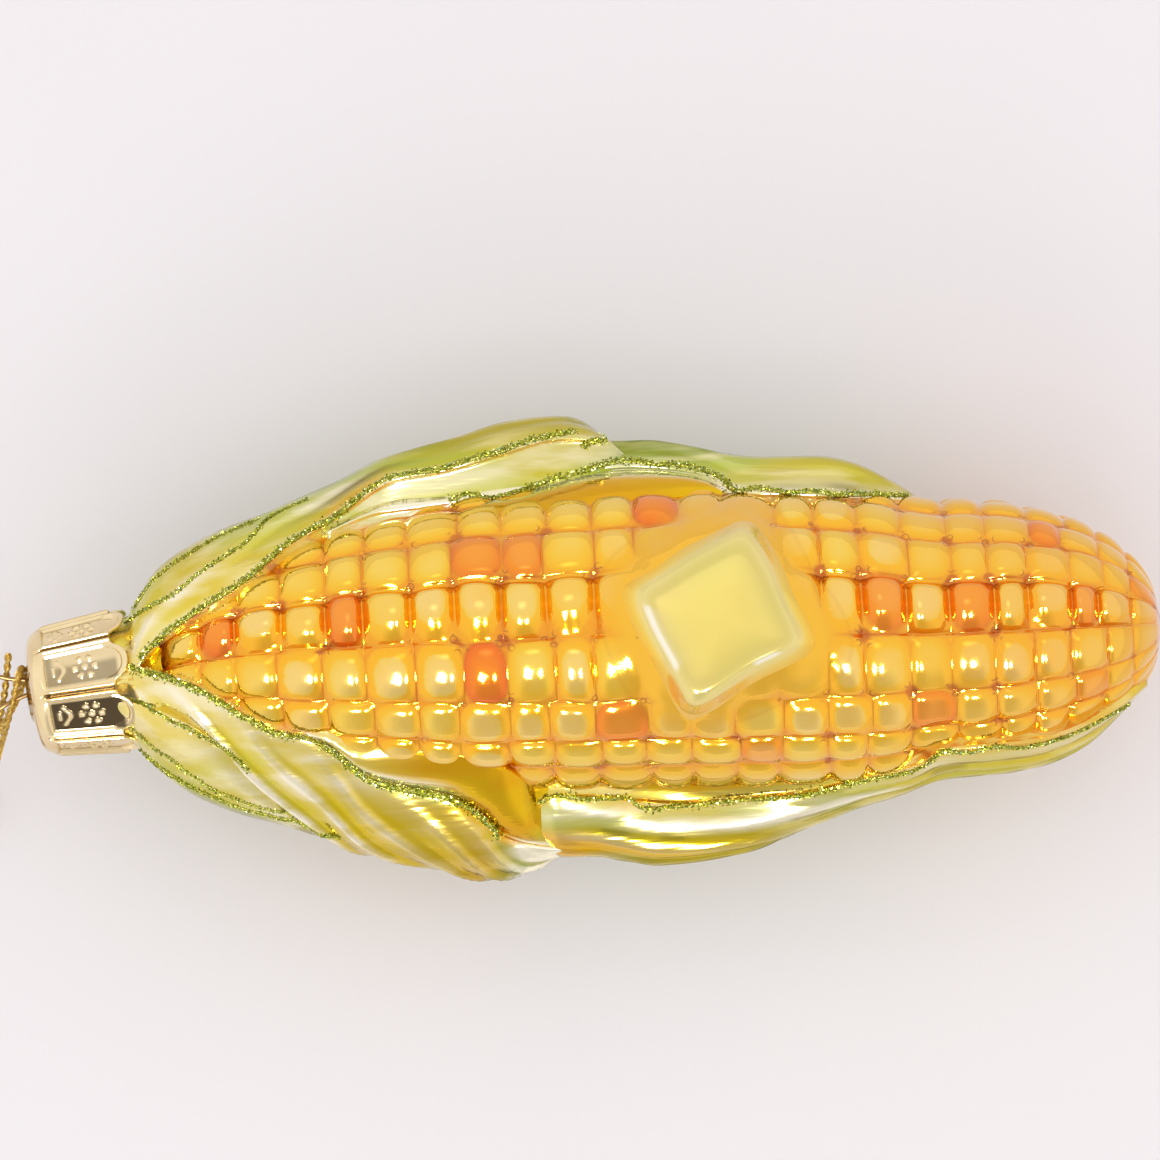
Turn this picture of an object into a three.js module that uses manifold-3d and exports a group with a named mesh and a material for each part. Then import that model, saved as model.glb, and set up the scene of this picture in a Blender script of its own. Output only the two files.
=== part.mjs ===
// A Christmas ornament in mould-blown glass: an ear of corn in its husk with a pat of butter
// melting on it, a pressed metal crown cap over its neck, a sprung wire hanger and a gold string.
// Millimetres. The ear lies on its back along +X, its tip at +X and its front up (+Z); the
// origin is the middle of the small flat spot on its back that it rests on.
import * as THREE from 'three';
import { mergeVertices } from 'three/addons/utils/BufferGeometryUtils.js';
import Module from 'manifold-3d';

const wasm = await Module();
wasm.setup();

// ---- Driving dimensions. The glass is described from the neck's shoulder, X = 0, along the
// ---- ear, with Y across it and Z up from the mould's parting plane.
const EAR_LENGTH = 118.3;        // shoulder to the rounded tip
const REST_X = 58;               // where along the ear its weight sits on the flat spot
const REST_DEPTH = 19.6;         // parting plane down to the flat spot

// Where each of the sixteen rows of kernels meets the next, in degrees round from the front
// towards +Y. The rows on the show side are the narrower ones.
const ROW_EDGES = [0.5, 25.3, 45.3, 66.3, 88, 110, 132, 154.5, 177, 199.5, 222, 249, 276, 302.8, 317.6,
  335.8, 360.5];
const KERNEL_PITCH = 4.95;       // along a row, at mid length
const KERNEL_HEIGHT = 1.2;       // groove to crown
const KERNEL_UNEVENNESS = 0.12;
const FULL_KERNEL_RADIUS = 14;   // where the cob is slimmer than this its kernels stand lower
const FIRST_KERNEL_X = 6.0;      // where the first kernel of each row begins
const LAST_KERNEL_X = 117.4;     // where the last one ends
const TIP_START = 92;            // where the cob starts to round off
const TIP_RADIUS = 15.5;
const TIP_POWER = 2.4;           // how blunt the tip is

const NECK_RADIUS = 5.0;
const NECK_LENGTH = 7.0;         // stands inside the cap
const LEAF_START = 2.8;          // where the husk begins, clear of the cap's tongues
const HUSK_BODY_END = 96;
const GLASS_WALL = 1.1;          // about twice a blown wall, so that it stays solid
const BORE_RADIUS = 3.9;         // open throat of the neck

const BUTTER_SIDE = 14.4;
const BUTTER_TURN = 25;          // degrees about Z
const BUTTER_TILT = 7;           // degrees that its face leans towards +Y
const BUTTER_X = 68.0;
const BUTTER_Y = 3.9;
const BUTTER_TOP_Z = 20.7;
const BUTTER_HEIGHT = 8;         // most of it is sunk in the cob
const BUTTER_EDGE = 1.3;         // softened edge
const BUTTER_CORNER = 2.4;       // radius of its corners, seen from above
const POOL_RADIUS = 12.4;        // melted butter round the pat
const POOL_RISE = 0.35;          // above the kernels' crowns

const CAP_LENGTH = 9.6;
const CAP_TOP_RADIUS = 6.85;
const CAP_SKIRT_RADIUS = 7.85;
const CAP_PANELS = 8;
const CAP_WALL = 0.5;
const CAP_TURN = 5.5;            // degrees that the cap sits askew on the neck
const CAP_X = 0.4;               // skirt's plain edge
const CAP_CREASE = 0.35;         // depth of the crease between two panels
const CAP_FIRST_CREASE = -4.4;   // degrees round from the front
const CAP_HOLE_RADIUS = 0.6;
const TONGUE_LENGTH = 1.25;      // each panel's scalloped tongue beyond that edge

const WIRE_DIAMETER = 0.5;
const HANGER_LEGS_Y = [0.05, 1.6]; // where its two legs pass through the cap
const CORD_DIAMETER = 0.9;
const COIL_CENTRE = [-22.9, -12.6];
const COIL_MID_RADIUS = 4.9;     // middle of the turns
const COIL_TURNS_WIDE = 2;       // turns beside each other
const COIL_LAYERS = 2;           // turns on each other
const KNOT_DIAMETER = 2.2;
const KNOT_OFFSET = 2.5;         // lies inside the coil, against its turns

// ---- Materials
const glassFinish = new THREE.MeshStandardMaterial({ color: 0xe9ac3a, roughness: 0.18, metalness: 0.35 });
const capFinish = new THREE.MeshStandardMaterial({ color: 0xdcc397, roughness: 0.22, metalness: 1.0 });
const wireFinish = new THREE.MeshStandardMaterial({ color: 0x8a6a44, roughness: 0.3, metalness: 1.0 });
const cordFinish = new THREE.MeshStandardMaterial({ color: 0xc98d2c, roughness: 0.4, metalness: 0.7 });

// ---- Small tools
const radians = THREE.MathUtils.degToRad;
const clamp = THREE.MathUtils.clamp;
const mix = THREE.MathUtils.lerp;
const smoothstep = THREE.MathUtils.smoothstep;

// A smooth function of x through the points [x, y], level beyond its ends.
function through(points) {
  const last = points.length - 1;
  const slope = points.map((_, i) => {
    const before = points[Math.max(i - 1, 0)];
    const after = points[Math.min(i + 1, last)];
    return (after[1] - before[1]) / (after[0] - before[0]);
  });
  return (x) => {
    if (x <= points[0][0]) return points[0][1];
    if (x >= points[last][0]) return points[last][1];
    const i = points.findIndex((point) => point[0] > x) - 1;
    const [x0, y0] = points[i];
    const [x1, y1] = points[i + 1];
    const span = x1 - x0;
    const t = (x - x0) / span;
    const rise = t * t * (3 - 2 * t);
    const ease = slope[i] * t * (1 - t) ** 2 - slope[i + 1] * t * t * (1 - t);
    return mix(y0, y1, rise) + span * ease;
  };
}

// The same small unevenness every time, between -1 and 1, for a pair of whole numbers.
function uneven(a, b) {
  const wave = Math.sin(a * 127.1 + b * 311.7 + 11.3) * 43758.5453;
  return 2 * (wave - Math.floor(wave)) - 1;
}

// One closed skin over rings of points that run round the X axis from +Z towards +Y. Its ends
// close as fans about their middles. With ladderEnds a ring is an arc that comes back on itself,
// and its ends close as ladders between the two sides of the arc.
function skin(rings, { ladderEnds = false } = {}) {
  const size = rings[0].length;
  const positions = rings.flat(2);
  const faces = [];
  for (let i = 0; i < rings.length - 1; i += 1) {
    for (let j = 0; j < size; j += 1) {
      const a = i * size + j;
      const b = i * size + ((j + 1) % size);
      faces.push(a, a + size, b + size, a, b + size, b);
    }
  }
  for (const [start, flip] of [[0, false], [(rings.length - 1) * size, true]]) {
    const close = (a, b, c) => faces.push(...(flip ? [a, c, b] : [a, b, c]));
    if (ladderEnds) {
      for (let j = 0; j < size / 2 - 1; j += 1) {
        const k = size - 1 - j;
        close(start + j, start + j + 1, start + k - 1);
        close(start + j, start + k - 1, start + k);
      }
    } else {
      const ring = rings[start / size];
      const middle = [0, 1, 2].map((axis) => ring.reduce((sum, p) => sum + p[axis], 0) / size);
      const hub = positions.length / 3;
      positions.push(...middle);
      for (let j = 0; j < size; j += 1) close(hub, start + j, start + ((j + 1) % size));
    }
  }
  const geometry = new THREE.BufferGeometry();
  geometry.setAttribute('position', new THREE.Float32BufferAttribute(positions, 3));
  geometry.setIndex(faces);
  return geometry;
}

// A three.js geometry as a solid that can be joined and cut, whichever way its faces ran.
function solidOf(geometry) {
  const bare = geometry.clone();
  bare.deleteAttribute('normal');
  bare.deleteAttribute('uv');
  const merged = mergeVertices(bare, 1e-4);
  const vertProperties = Float32Array.from(merged.attributes.position.array);
  const triVerts = Uint32Array.from(merged.index.array);
  const solid = new wasm.Manifold(new wasm.Mesh({ numProp: 3, vertProperties, triVerts }));
  if (solid.volume() >= 0) return solid;
  return new wasm.Manifold(new wasm.Mesh({ numProp: 3, vertProperties, triVerts: triVerts.reverse() }));
}

function geometryOf(solid) {
  const mesh = solid.getMesh();
  const geometry = new THREE.BufferGeometry();
  const positions = [];
  for (let i = 0; i < mesh.vertProperties.length; i += mesh.numProp) {
    positions.push(...mesh.vertProperties.slice(i, i + 3));
  }
  geometry.setAttribute('position', new THREE.Float32BufferAttribute(positions, 3));
  geometry.setIndex([...mesh.triVerts]);
  return geometry;
}

function piece(name, geometry, material) {
  const mesh = new THREE.Mesh(geometry, material);
  mesh.name = name;
  return mesh;
}

function steps(from, to, count) {
  return Array.from({ length: count + 1 }, (_, i) => mix(from, to, i / count));
}

// ---- The cob: a rounded rod whose surface is raised in rows of kernels
const cobBody = through([[0, 4.6], [5, 7.6], [10, 10.4], [20, 13.6], [30, 15.7], [41, 17.2],
  [58, 17.8], [75, 17.6], [85, 16.9], [TIP_START, TIP_RADIUS]]);
const cobShift = through([[0, 0], [12, 2.0], [25, 2.4], [60, 2.0], [75, 1.3], [95, 0.2]]);
const kernelShare = through([[6, 0.84], [22, 1], [80, 1], [95, 0.92], [105, 0.8], [111, 0.69], [117, 0.56]]);

function cobRadius(x) {
  const along = clamp((x - TIP_START) / (EAR_LENGTH - TIP_START), 0, 1);
  return cobBody(x) * Math.sqrt(1 - along ** TIP_POWER);
}

// Where one kernel of a row meets the next.
function kernelJoints() {
  const joints = [FIRST_KERNEL_X];
  while (joints.at(-1) < LAST_KERNEL_X - 1.5) {
    joints.push(joints.at(-1) + KERNEL_PITCH * kernelShare(joints.at(-1)));
  }
  const spare = (LAST_KERNEL_X - FIRST_KERNEL_X) / (joints.at(-1) - FIRST_KERNEL_X);
  return joints.map((x) => FIRST_KERNEL_X + (x - FIRST_KERNEL_X) * spare);
}

// 1 on the melted butter round the pat, 0 on bare kernels.
function pool(x, y) {
  const turn = radians(BUTTER_TURN);
  const a = (x - BUTTER_X) * Math.cos(turn) + (y - BUTTER_Y) * Math.sin(turn);
  const b = (y - BUTTER_Y) * Math.cos(turn) - (x - BUTTER_X) * Math.sin(turn);
  const reach = (a ** 4 + b ** 4) ** 0.25;
  return 1 - smoothstep(reach, POOL_RADIUS * 0.72, POOL_RADIUS);
}

// Each kernel is drawn by its near groove and the two edges of its crown, as shares of its size.
const acrossKernel = [0, 0.26, 0.74];

function angleAcross(row, side) {
  return radians(mix(ROW_EDGES[row], ROW_EDGES[row + 1], side));
}

function cob() {
  const joints = kernelJoints();
  const stations = [];
  joints.slice(0, -1).forEach((from, k) => {
    acrossKernel.forEach((share) => stations.push({ x: mix(from, joints[k + 1], share), k, share }));
  });
  stations.push({ x: joints.at(-1), k: joints.length - 1, share: 0 });
  const rings = stations.map(({ x, k, share }) => {
    const ring = [];
    for (let row = 0; row < ROW_EDGES.length - 1; row += 1) {
      acrossKernel.forEach((side) => {
        const angle = angleAcross(row, side);
        const body = cobRadius(x);
        const onCrown = share > 0 && side > 0;
        const inCorner = share === 0 && side === 0;
        const height = KERNEL_HEIGHT * Math.min(1, body / FULL_KERNEL_RADIUS);
        let low = height * (inCorner ? 1 : 0.75);
        if (onCrown) low = -KERNEL_UNEVENNESS * uneven(k, row);
        const y = cobShift(x) + body * Math.sin(angle);
        const melted = Math.cos(angle) > 0 ? pool(x, y) : 0;
        const radius = body - low * (1 - melted) + POOL_RISE * melted;
        ring.push([x, cobShift(x) + radius * Math.sin(angle), radius * Math.cos(angle)]);
      });
    }
    return ring;
  });
  const plainRing = (x, radius) => Array.from({ length: rings[0].length }, (_, j) => {
    const angle = angleAcross(Math.floor(j / acrossKernel.length), acrossKernel[j % acrossKernel.length]);
    return [x, cobShift(x) + radius * Math.sin(angle), radius * Math.cos(angle)];
  });
  return skin([plainRing(1.0, 5.2), plainRing(3.6, 6.4), ...rings, plainRing(EAR_LENGTH, 0.8)]);
}

// ---- The husk. Its outline seen from the front, and its depth before and behind the parting
// ---- plane, give the section that every leaf lies on.
const huskTop = through([[2.3, 8.1], [3.4, 9.9], [4.7, 11.6], [5.8, 12.7], [8.1, 14.3], [12.8, 16.6],
  [17.4, 18.1], [22, 19.8], [26.6, 21.5], [31.2, 23.5], [35.8, 24.4], [40.3, 25.2], [44.9, 26.4], [50.5, 26.9],
  [54, 26.6], [58.4, 24.8], [62.8, 23.8], [69.5, 22.2], [74, 21.4], [80.7, 21.2], [83, 20.8],
  [85.2, 20.0], [87.4, 18.8], [89.6, 17.5], [91.8, 16.0], [97, 14.6]]);
const huskBottom = through([[2.3, -8.0], [3.7, -9.4], [5.7, -11.3], [8.9, -13.5], [13.3, -15.7], [17.7, -17.2],
  [22.1, -18.8], [26.5, -20.8], [33.2, -22.4], [39.9, -24.3], [44.4, -24.2], [49, -23.4], [53.2, -22.8],
  [55.8, -23.1], [60.2, -23.8], [69.3, -23.0], [73.9, -21.7], [78.5, -20.0], [83.1, -18.4],
  [87.7, -17.2], [92.3, -15.8], [98.5, -15.5], [103, -15.0], [107, -13.9], [109.7, -12.4],
  [113, -9.7], [116.2, -6.8]]);
const huskFront = through([[2.3, 7.9], [5, 9.0], [12, 9.8], [25, 10], [45, 9.5], [60, 9], [75, 9],
  [90, 9.6], [98, 10], [105, 9], [110, 8], [116, 5]]);
const huskBack = through([[2.3, 8.0], [5, 10.4], [10, 13], [20, 16], [35, 18.1], [50, 18.9], [62, 19.0],
  [75, 18.6], [85, 17.8], [92, 16.7], [98, 15.4], [105, 14], [110, 11.8], [116, 6]]);

// A point of the husk's section at x. The angle runs from 0 at the front through 90 at +Y.
function huskPoint(x, degrees, scale = 1, lift = 0) {
  const angle = radians(degrees);
  const side = Math.sin(angle) > 0 ? huskTop(x) - cobShift(x) : cobShift(x) - huskBottom(x);
  const depth = Math.cos(angle) > 0 ? huskFront(x) : huskBack(x);
  const y = cobShift(x) + (side * scale + lift) * Math.sin(angle);
  return [x, y, (depth * scale + lift) * Math.cos(angle)];
}

// The hidden body under the leaves, which they are all rooted in. It is flatter in front, where
// the kernels stand out of it.
function huskBody() {
  const sides = 24;
  const rings = steps(LEAF_START, HUSK_BODY_END, 20).map((x) => {
    const scale = mix(0.9, 0.8, clamp((x - HUSK_BODY_END + 10) / 10, 0, 1));
    return Array.from({ length: sides }, (_, j) => {
      const point = huskPoint(x, (j / sides) * 360, scale);
      if (point[2] > 0) point[2] *= 0.55;
      return point;
    });
  });
  return skin(rings);
}

// A leaf lies along the ear from x = from to x = to. Its front edge follows the points of
// `edge`, [x, y, z], and it wraps round the husk's section to the angle `wrap` degrees. It is
// `lift` above that section, and raised in flutes that slant along it.
const WIDEST_SINE = 0.995;

function leaf({ from, to, edge, wrap, lift, flutes, fluteHeight, slant, stations, across }) {
  const edgeY = through(edge.map(([x, y]) => [x, y]));
  const edgeZ = through(edge.map(([x, , z]) => [x, z]));
  const wrapAt = through(wrap);
  const liftAt = through(lift);
  const rings = steps(from, to, stations).map((x) => {
    const upper = wrapAt(x) > 0;
    const side = upper ? huskTop(x) - cobShift(x) : cobShift(x) - huskBottom(x);
    const sine = clamp((edgeY(x) - cobShift(x)) / (side + liftAt(x)), -WIDEST_SINE, WIDEST_SINE);
    const start = THREE.MathUtils.radToDeg(Math.asin(sine));
    const outer = steps(0, 1, across).map((t) => {
      const [px, py, pz] = huskPoint(x, mix(start, wrapAt(x), t), 1, liftAt(x));
      const onEdge = edgeZ(x) - huskPoint(x, start, 1, liftAt(x))[2];
      const ends = smoothstep(x, from, from + 10) * (1 - smoothstep(x, to - 8, to));
      const flute = fluteHeight * ends * Math.sin(Math.PI * Math.min(1, t * 1.6)) *
        Math.sin(2 * Math.PI * (flutes * t - (x - from) * slant));
      const out = Math.hypot(py - cobShift(x), pz);
      return [px, py + (flute * (py - cobShift(x))) / out, pz + onEdge * (1 - t) ** 3 + (flute * pz) / out];
    });
    const rooted = outer.map(([px, py, pz], j) => {
      const keep = j === 0 ? 0.8 : 0.7;
      return [px, cobShift(x) + (py - cobShift(x)) * keep, pz * keep - (j === 0 ? 0.6 : 0)];
    });
    return [...outer, ...rooted.reverse()];
  });
  return skin(rings, { ladderEnds: true });
}

const LEAVES = [
  { // the upper leaf from the cap, whose tip curls over at mid length
    from: LEAF_START, to: 61, stations: 26, across: 9,
    edge: [[LEAF_START, 2.2, 8.0], [5.8, 4.8, 8.9], [9.6, 7.2, 10.0], [13.1, 9.2, 10.4], [16.2, 11.1, 10.3],
      [20.4, 14.4, 9.0], [24.5, 16.6, 7.6], [28.1, 18.8, 6.6], [32.5, 21.2, 5.8], [38.3, 22.0, 5.6],
      [45, 23.6, 5.0], [50.8, 24.9, 3.8], [56.5, 24.4, 2.6], [61, 23.4, 0.6]],
    wrap: [[LEAF_START, 150], [61, 140]],
    lift: [[LEAF_START, 0], [52, 0.1], [61, -1.4]],
    flutes: 2, fluteHeight: 0.3, slant: 0.01,
  },
  { // the next one, from under it to a slim tip well along the kernels
    from: 25, to: 91.6, stations: 28, across: 9,
    edge: [[25, 15.6, 7.8], [30.2, 17.6, 6.4], [34, 18, 6.0], [38.9, 18.4, 5.6], [45.6, 19, 4.8],
      [50.5, 20.3, 3.4], [56.4, 21.3, 2.8], [62, 21.1, 3.0], [67.8, 19.9, 4.4], [71, 17.9, 7.2],
      [76.4, 17.3, 7.4], [82.4, 16.7, 6.8], [88, 16.1, 4.8], [91.6, 15.5, 2.2]],
    wrap: [[25, 120], [60, 140], [85, 135], [91.6, 110]],
    lift: [[25, -2.6], [52, -2.2], [63, -0.1], [91.6, -0.2]],
    flutes: 2, fluteHeight: 0.35, slant: 0.008,
  },
  { // the short leaf at the lower side of the cap
    from: LEAF_START, to: 23, stations: 12, across: 9,
    edge: [[LEAF_START, -2.4, 7.8], [5.1, -3.6, 8.8], [8.3, -5.4, 9.4], [12.3, -8.3, 8.8], [15.1, -11, 7.4],
      [19, -15, 4.6], [23, -18, 1.2]],
    wrap: [[LEAF_START, -150], [23, -135]],
    lift: [[LEAF_START, 0], [17, 0], [23, -0.8]],
    flutes: 2, fluteHeight: 0.2, slant: 0,
  },
  { // the fluted lower leaf, twisted so that its folds cross it
    from: LEAF_START, to: 54, stations: 32, across: 14,
    edge: [[LEAF_START, 1.1, 8.1], [6.3, 0.4, 9.8], [9.9, -1.3, 11.0], [14.8, -4.6, 11.0], [18.2, -6.6, 10.6],
      [23.6, -8.6, 10.4], [27.5, -12, 8.2], [31.7, -13.7, 6.9], [37.3, -15.2, 6.0], [40.8, -17.7, 4.6],
      [43, -20, 3.4], [48, -21.6, 2], [54, -22, 0.4]],
    wrap: [[LEAF_START, -130], [20, -140], [54, -145]],
    lift: [[LEAF_START, -0.9], [14, -0.7], [24, 0], [44, 0.1], [54, -1.2]],
    flutes: 2.6, fluteHeight: 0.9, slant: 0.045,
  },
  { // the long lower leaf, out to the tip of the ear
    from: 45.5, to: 116, stations: 34, across: 9,
    edge: [[45.5, -16.8, 1.2], [48.8, -15.8, 1.8], [52, -15.9, 1.8], [57.3, -16.6, 1.8], [63.5, -17.3, 1.8],
      [72.2, -17, 2.4], [77.7, -16.8, 3.4], [83.5, -15.5, 5.4], [89.3, -14.5, 7.4], [92.3, -12.9, 9.6],
      [98, -12.6, 9.9], [103.9, -12.2, 9.0], [109.7, -10.3, 7.9], [113.4, -8.4, 5.8], [116, -6.6, 3]],
    wrap: [[45.5, -140], [90, -140], [104, -130], [116, -115]],
    lift: [[45.5, -1.8], [55, 0], [100, 0.1], [116, -0.1]],
    flutes: 2, fluteHeight: 0.35, slant: 0.006,
  },
];

// The leaf down the middle of the back, on which the ornament lies.
function backLeaf() {
  const half = through([[LEAF_START, 34], [20, 27], [50, 30], [75, 26], [90, 16], [99, 4]]);
  const rings = steps(LEAF_START, 99, 26).map((x) => {
    const outer = steps(-1, 1, 8).map((t) => {
      const rib = 0.35 * Math.exp(-((t / 0.18) ** 2));
      const edge = 0.9 - 0.35 * t ** 4;
      return huskPoint(x, 180 + t * half(x), 1, edge + rib);
    });
    const rooted = outer.map(([px, py, pz]) => [px, cobShift(x) + (py - cobShift(x)) * 0.8, pz * 0.8]);
    return [...outer, ...rooted.reverse()];
  });
  return skin(rings, { ladderEnds: true });
}

// ---- The butter: a square pat with softened edges, lying on the kernels
function butter() {
  const inset = BUTTER_SIDE / 2 - BUTTER_EDGE - BUTTER_CORNER;
  const outline = new THREE.Shape();
  outline.absarc(inset, inset, BUTTER_CORNER, 0, Math.PI / 2);
  outline.absarc(-inset, inset, BUTTER_CORNER, Math.PI / 2, Math.PI);
  outline.absarc(-inset, -inset, BUTTER_CORNER, Math.PI, 1.5 * Math.PI);
  outline.absarc(inset, -inset, BUTTER_CORNER, 1.5 * Math.PI, 2 * Math.PI);
  const pat = new THREE.ExtrudeGeometry(outline, {
    depth: BUTTER_HEIGHT - BUTTER_EDGE * 2, curveSegments: 3,
    bevelThickness: BUTTER_EDGE, bevelSize: BUTTER_EDGE, bevelSegments: 2,
  });
  pat.translate(0, 0, -BUTTER_HEIGHT + BUTTER_EDGE);
  pat.rotateZ(radians(BUTTER_TURN));
  pat.rotateX(radians(-BUTTER_TILT));
  pat.translate(BUTTER_X, BUTTER_Y, BUTTER_TOP_Z);
  return pat;
}

// ---- The neck, the inside of the glass and the flat spot
function turnedAboutX(profile, sides) {
  const points = profile.map(([x, radius]) => new THREE.Vector2(radius, x));
  const turned = new THREE.LatheGeometry(points, sides);
  turned.rotateZ(-Math.PI / 2);
  return turned;
}

function neck() {
  return turnedAboutX([[-NECK_LENGTH, 0], [-NECK_LENGTH, NECK_RADIUS], [-0.8, NECK_RADIUS],
    [1.9, 6.2], [LEAF_START, 7.5], [3.8, 8.4], [6, 7], [6, 0]], 24);
}

// The hollow under the kernels, and the wider one under the husk's back half.
function inside() {
  const sides = 18;
  const underKernels = steps(5, 114.6, 20).map((x) => {
    const radius = cobRadius(x) - KERNEL_HEIGHT - GLASS_WALL;
    return Array.from({ length: sides }, (_, j) => {
      const angle = (j / sides) * 2 * Math.PI;
      return [x, cobShift(x) + radius * Math.sin(angle), radius * Math.cos(angle)];
    });
  });
  const underHusk = steps(8, 88, 14).map((x) => Array.from({ length: sides }, (_, j) => {
    const point = huskPoint(x, (j / sides) * 360, 0.9, -GLASS_WALL);
    point[2] = Math.min(point[2], -1);
    return point;
  }));
  return [skin(underKernels), skin(underHusk)];
}

function throat() {
  const mouth = -NECK_LENGTH - 1;
  return turnedAboutX([[mouth, 0], [mouth, BORE_RADIUS], [2, BORE_RADIUS], [7, 5.4], [7, 0]], 20);
}

// What the mould's flat takes off the back. It is longer and wider than the spot that it leaves.
function restSpot() {
  const [length, width, depth] = [90, 64, 4];
  const slab = new THREE.BoxGeometry(length, width, depth);
  slab.translate(REST_X, 0, -REST_DEPTH - depth / 2);
  return slab;
}

// The one body of a solid, with any pocket that joining sealed filled and any loose scrap dropped.
function wholeBody(solid) {
  return solid.decompose().reduce((best, other) => (other.volume() > best.volume() ? other : best));
}

function glassBody() {
  let solid = solidOf(cob());
  for (const shape of [huskBody(), ...LEAVES.map(leaf), backLeaf(), butter(), neck()]) {
    solid = solid.add(solidOf(shape));
  }
  solid = wholeBody(solid);
  for (const hollow of [...inside(), throat(), restSpot()]) {
    solid = solid.subtract(solidOf(hollow));
  }
  return geometryOf(wholeBody(solid));
}

// ---- The cap: pressed from one disc, with eight panels that each end in a scalloped tongue.
// ---- Its own axis is X, with its skirt's plain edge at 0 and its top at -CAP_LENGTH.
function capRing(x, radius, { tongue = 0, crease = 0 } = {}) {
  const perPanel = 6;
  const sides = CAP_PANELS * perPanel;
  return Array.from({ length: sides }, (_, j) => {
    const inPanel = (j % perPanel) / perPanel;
    const angle = radians(CAP_FIRST_CREASE) + (j / sides) * 2 * Math.PI;
    const creased = j % perPanel === 0 ? crease : 0;
    const reach = tongue * Math.sin(Math.PI * inPanel) ** 0.7;
    const r = radius - creased;
    return [x + reach, r * Math.sin(angle), r * Math.cos(angle)];
  });
}

function cap() {
  const flare = (x) => mix(CAP_SKIRT_RADIUS, CAP_TOP_RADIUS, -x / CAP_LENGTH);
  const outside = [
    capRing(-CAP_LENGTH - 0.25, 2.2), capRing(-CAP_LENGTH, CAP_TOP_RADIUS - 1.3),
    capRing(-CAP_LENGTH + 0.5, CAP_TOP_RADIUS - 0.35),
    capRing(-CAP_LENGTH + 1.4, flare(-CAP_LENGTH + 1.2), { crease: CAP_CREASE }),
    capRing(-3.5, flare(-3.5), { crease: CAP_CREASE }),
    capRing(0, flare(0), { tongue: TONGUE_LENGTH, crease: CAP_CREASE }),
  ];
  const within = [
    capRing(0, flare(0) - CAP_WALL, { tongue: TONGUE_LENGTH, crease: CAP_CREASE }),
    capRing(-3.5, flare(-3.5) - CAP_WALL, { crease: CAP_CREASE }),
    capRing(-CAP_LENGTH + 1.5, CAP_TOP_RADIUS - CAP_WALL, { crease: CAP_CREASE }),
    capRing(-CAP_LENGTH + 0.8, CAP_TOP_RADIUS - CAP_WALL - 0.9), capRing(-CAP_LENGTH + 0.5, 2.2),
  ];
  let shell = solidOf(skin([...outside, ...within]));
  for (const y of HANGER_LEGS_Y) {
    const hole = new THREE.CylinderGeometry(CAP_HOLE_RADIUS, CAP_HOLE_RADIUS, 4, 10);
    hole.rotateZ(Math.PI / 2);
    hole.translate(-CAP_LENGTH, y, 0);
    shell = shell.subtract(solidOf(hole));
  }
  return geometryOf(shell);
}

// ---- The hanger: one sprung wire, whose eye stands out of the cap and whose legs spread in
// ---- the neck. It is drawn in the cap's own axes.
const hangerRoute = new THREE.CatmullRomCurve3([
  [6, -1.9, 0], [0, -1.6, 0], [-6, -0.6, 0], [-9.6, 0.05, 0], [-12.2, -0.5, 0], [-15.2, -1.7, 0],
  [-18.2, -2.5, 0], [-21.0, -1.6, 0], [-22.2, 0.8, 0], [-21.0, 3.2, 0], [-18.2, 4.1, 0], [-15.2, 3.3, 0],
  [-12.2, 2.1, 0], [-9.6, 1.6, 0], [-6, 2.2, 0], [0, 3.1, 0], [6, 3.3, 0],
].map((point) => new THREE.Vector3(...point)), false, 'centripetal');

function roundSection(diameter, sides) {
  const section = new THREE.Shape();
  for (let i = 0; i < sides; i += 1) {
    const angle = (i / sides) * 2 * Math.PI;
    const x = (diameter / 2) * Math.cos(angle);
    const y = (diameter / 2) * Math.sin(angle);
    if (i === 0) section.moveTo(x, y);
    else section.lineTo(x, y);
  }
  section.closePath();
  return section;
}

function tube(route, diameter, lengths) {
  const section = roundSection(diameter, 8);
  return new THREE.ExtrudeGeometry(section, { extrudePath: route, steps: lengths, bevelEnabled: false });
}

// ---- The string, from its short tail over the wire and down to the surface. It is drawn in
// ---- the glass's axes: X along the ear from the shoulder, Z from the parting plane.
const floorZ = -REST_DEPTH;
const cordRoute = new THREE.CatmullRomCurve3([
  [-11.9, 3.9, -1.3], [-12.2, 1.8, -1.2], [-12.7, -1.0, -1.5], [-13.5, -3.6, -2.1], [-14.9, -6.0, -3.2],
  [-16.4, -7.6, -5.0], [-16.9, -7.9, -7.2], [-15.6, -6.6, -8.2], [-13.6, -4.4, -6.6], [-12.0, -2.3, -4.2],
  [-10.9, -0.5, -2.2], [-10.4, 0.9, -1.3], [-10.4, 2.0, -0.3], [-10.6, 1.7, 1.1], [-11.0, 0.4, 1.4],
  [-11.6, -1.7, 1.1], [-12.5, -4.2, 0.2], [-13.5, -6.6, -2.4], [-14.4, -8.6, -6.4], [-15.2, -10.3, -11.0],
  [-16.1, -12.2, -15.0], [-17.0, -14.6, floorZ + 1.5], [-17.9, -16.6, floorZ + 0.75],
].map((point) => new THREE.Vector3(...point)), false, 'centripetal');

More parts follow.
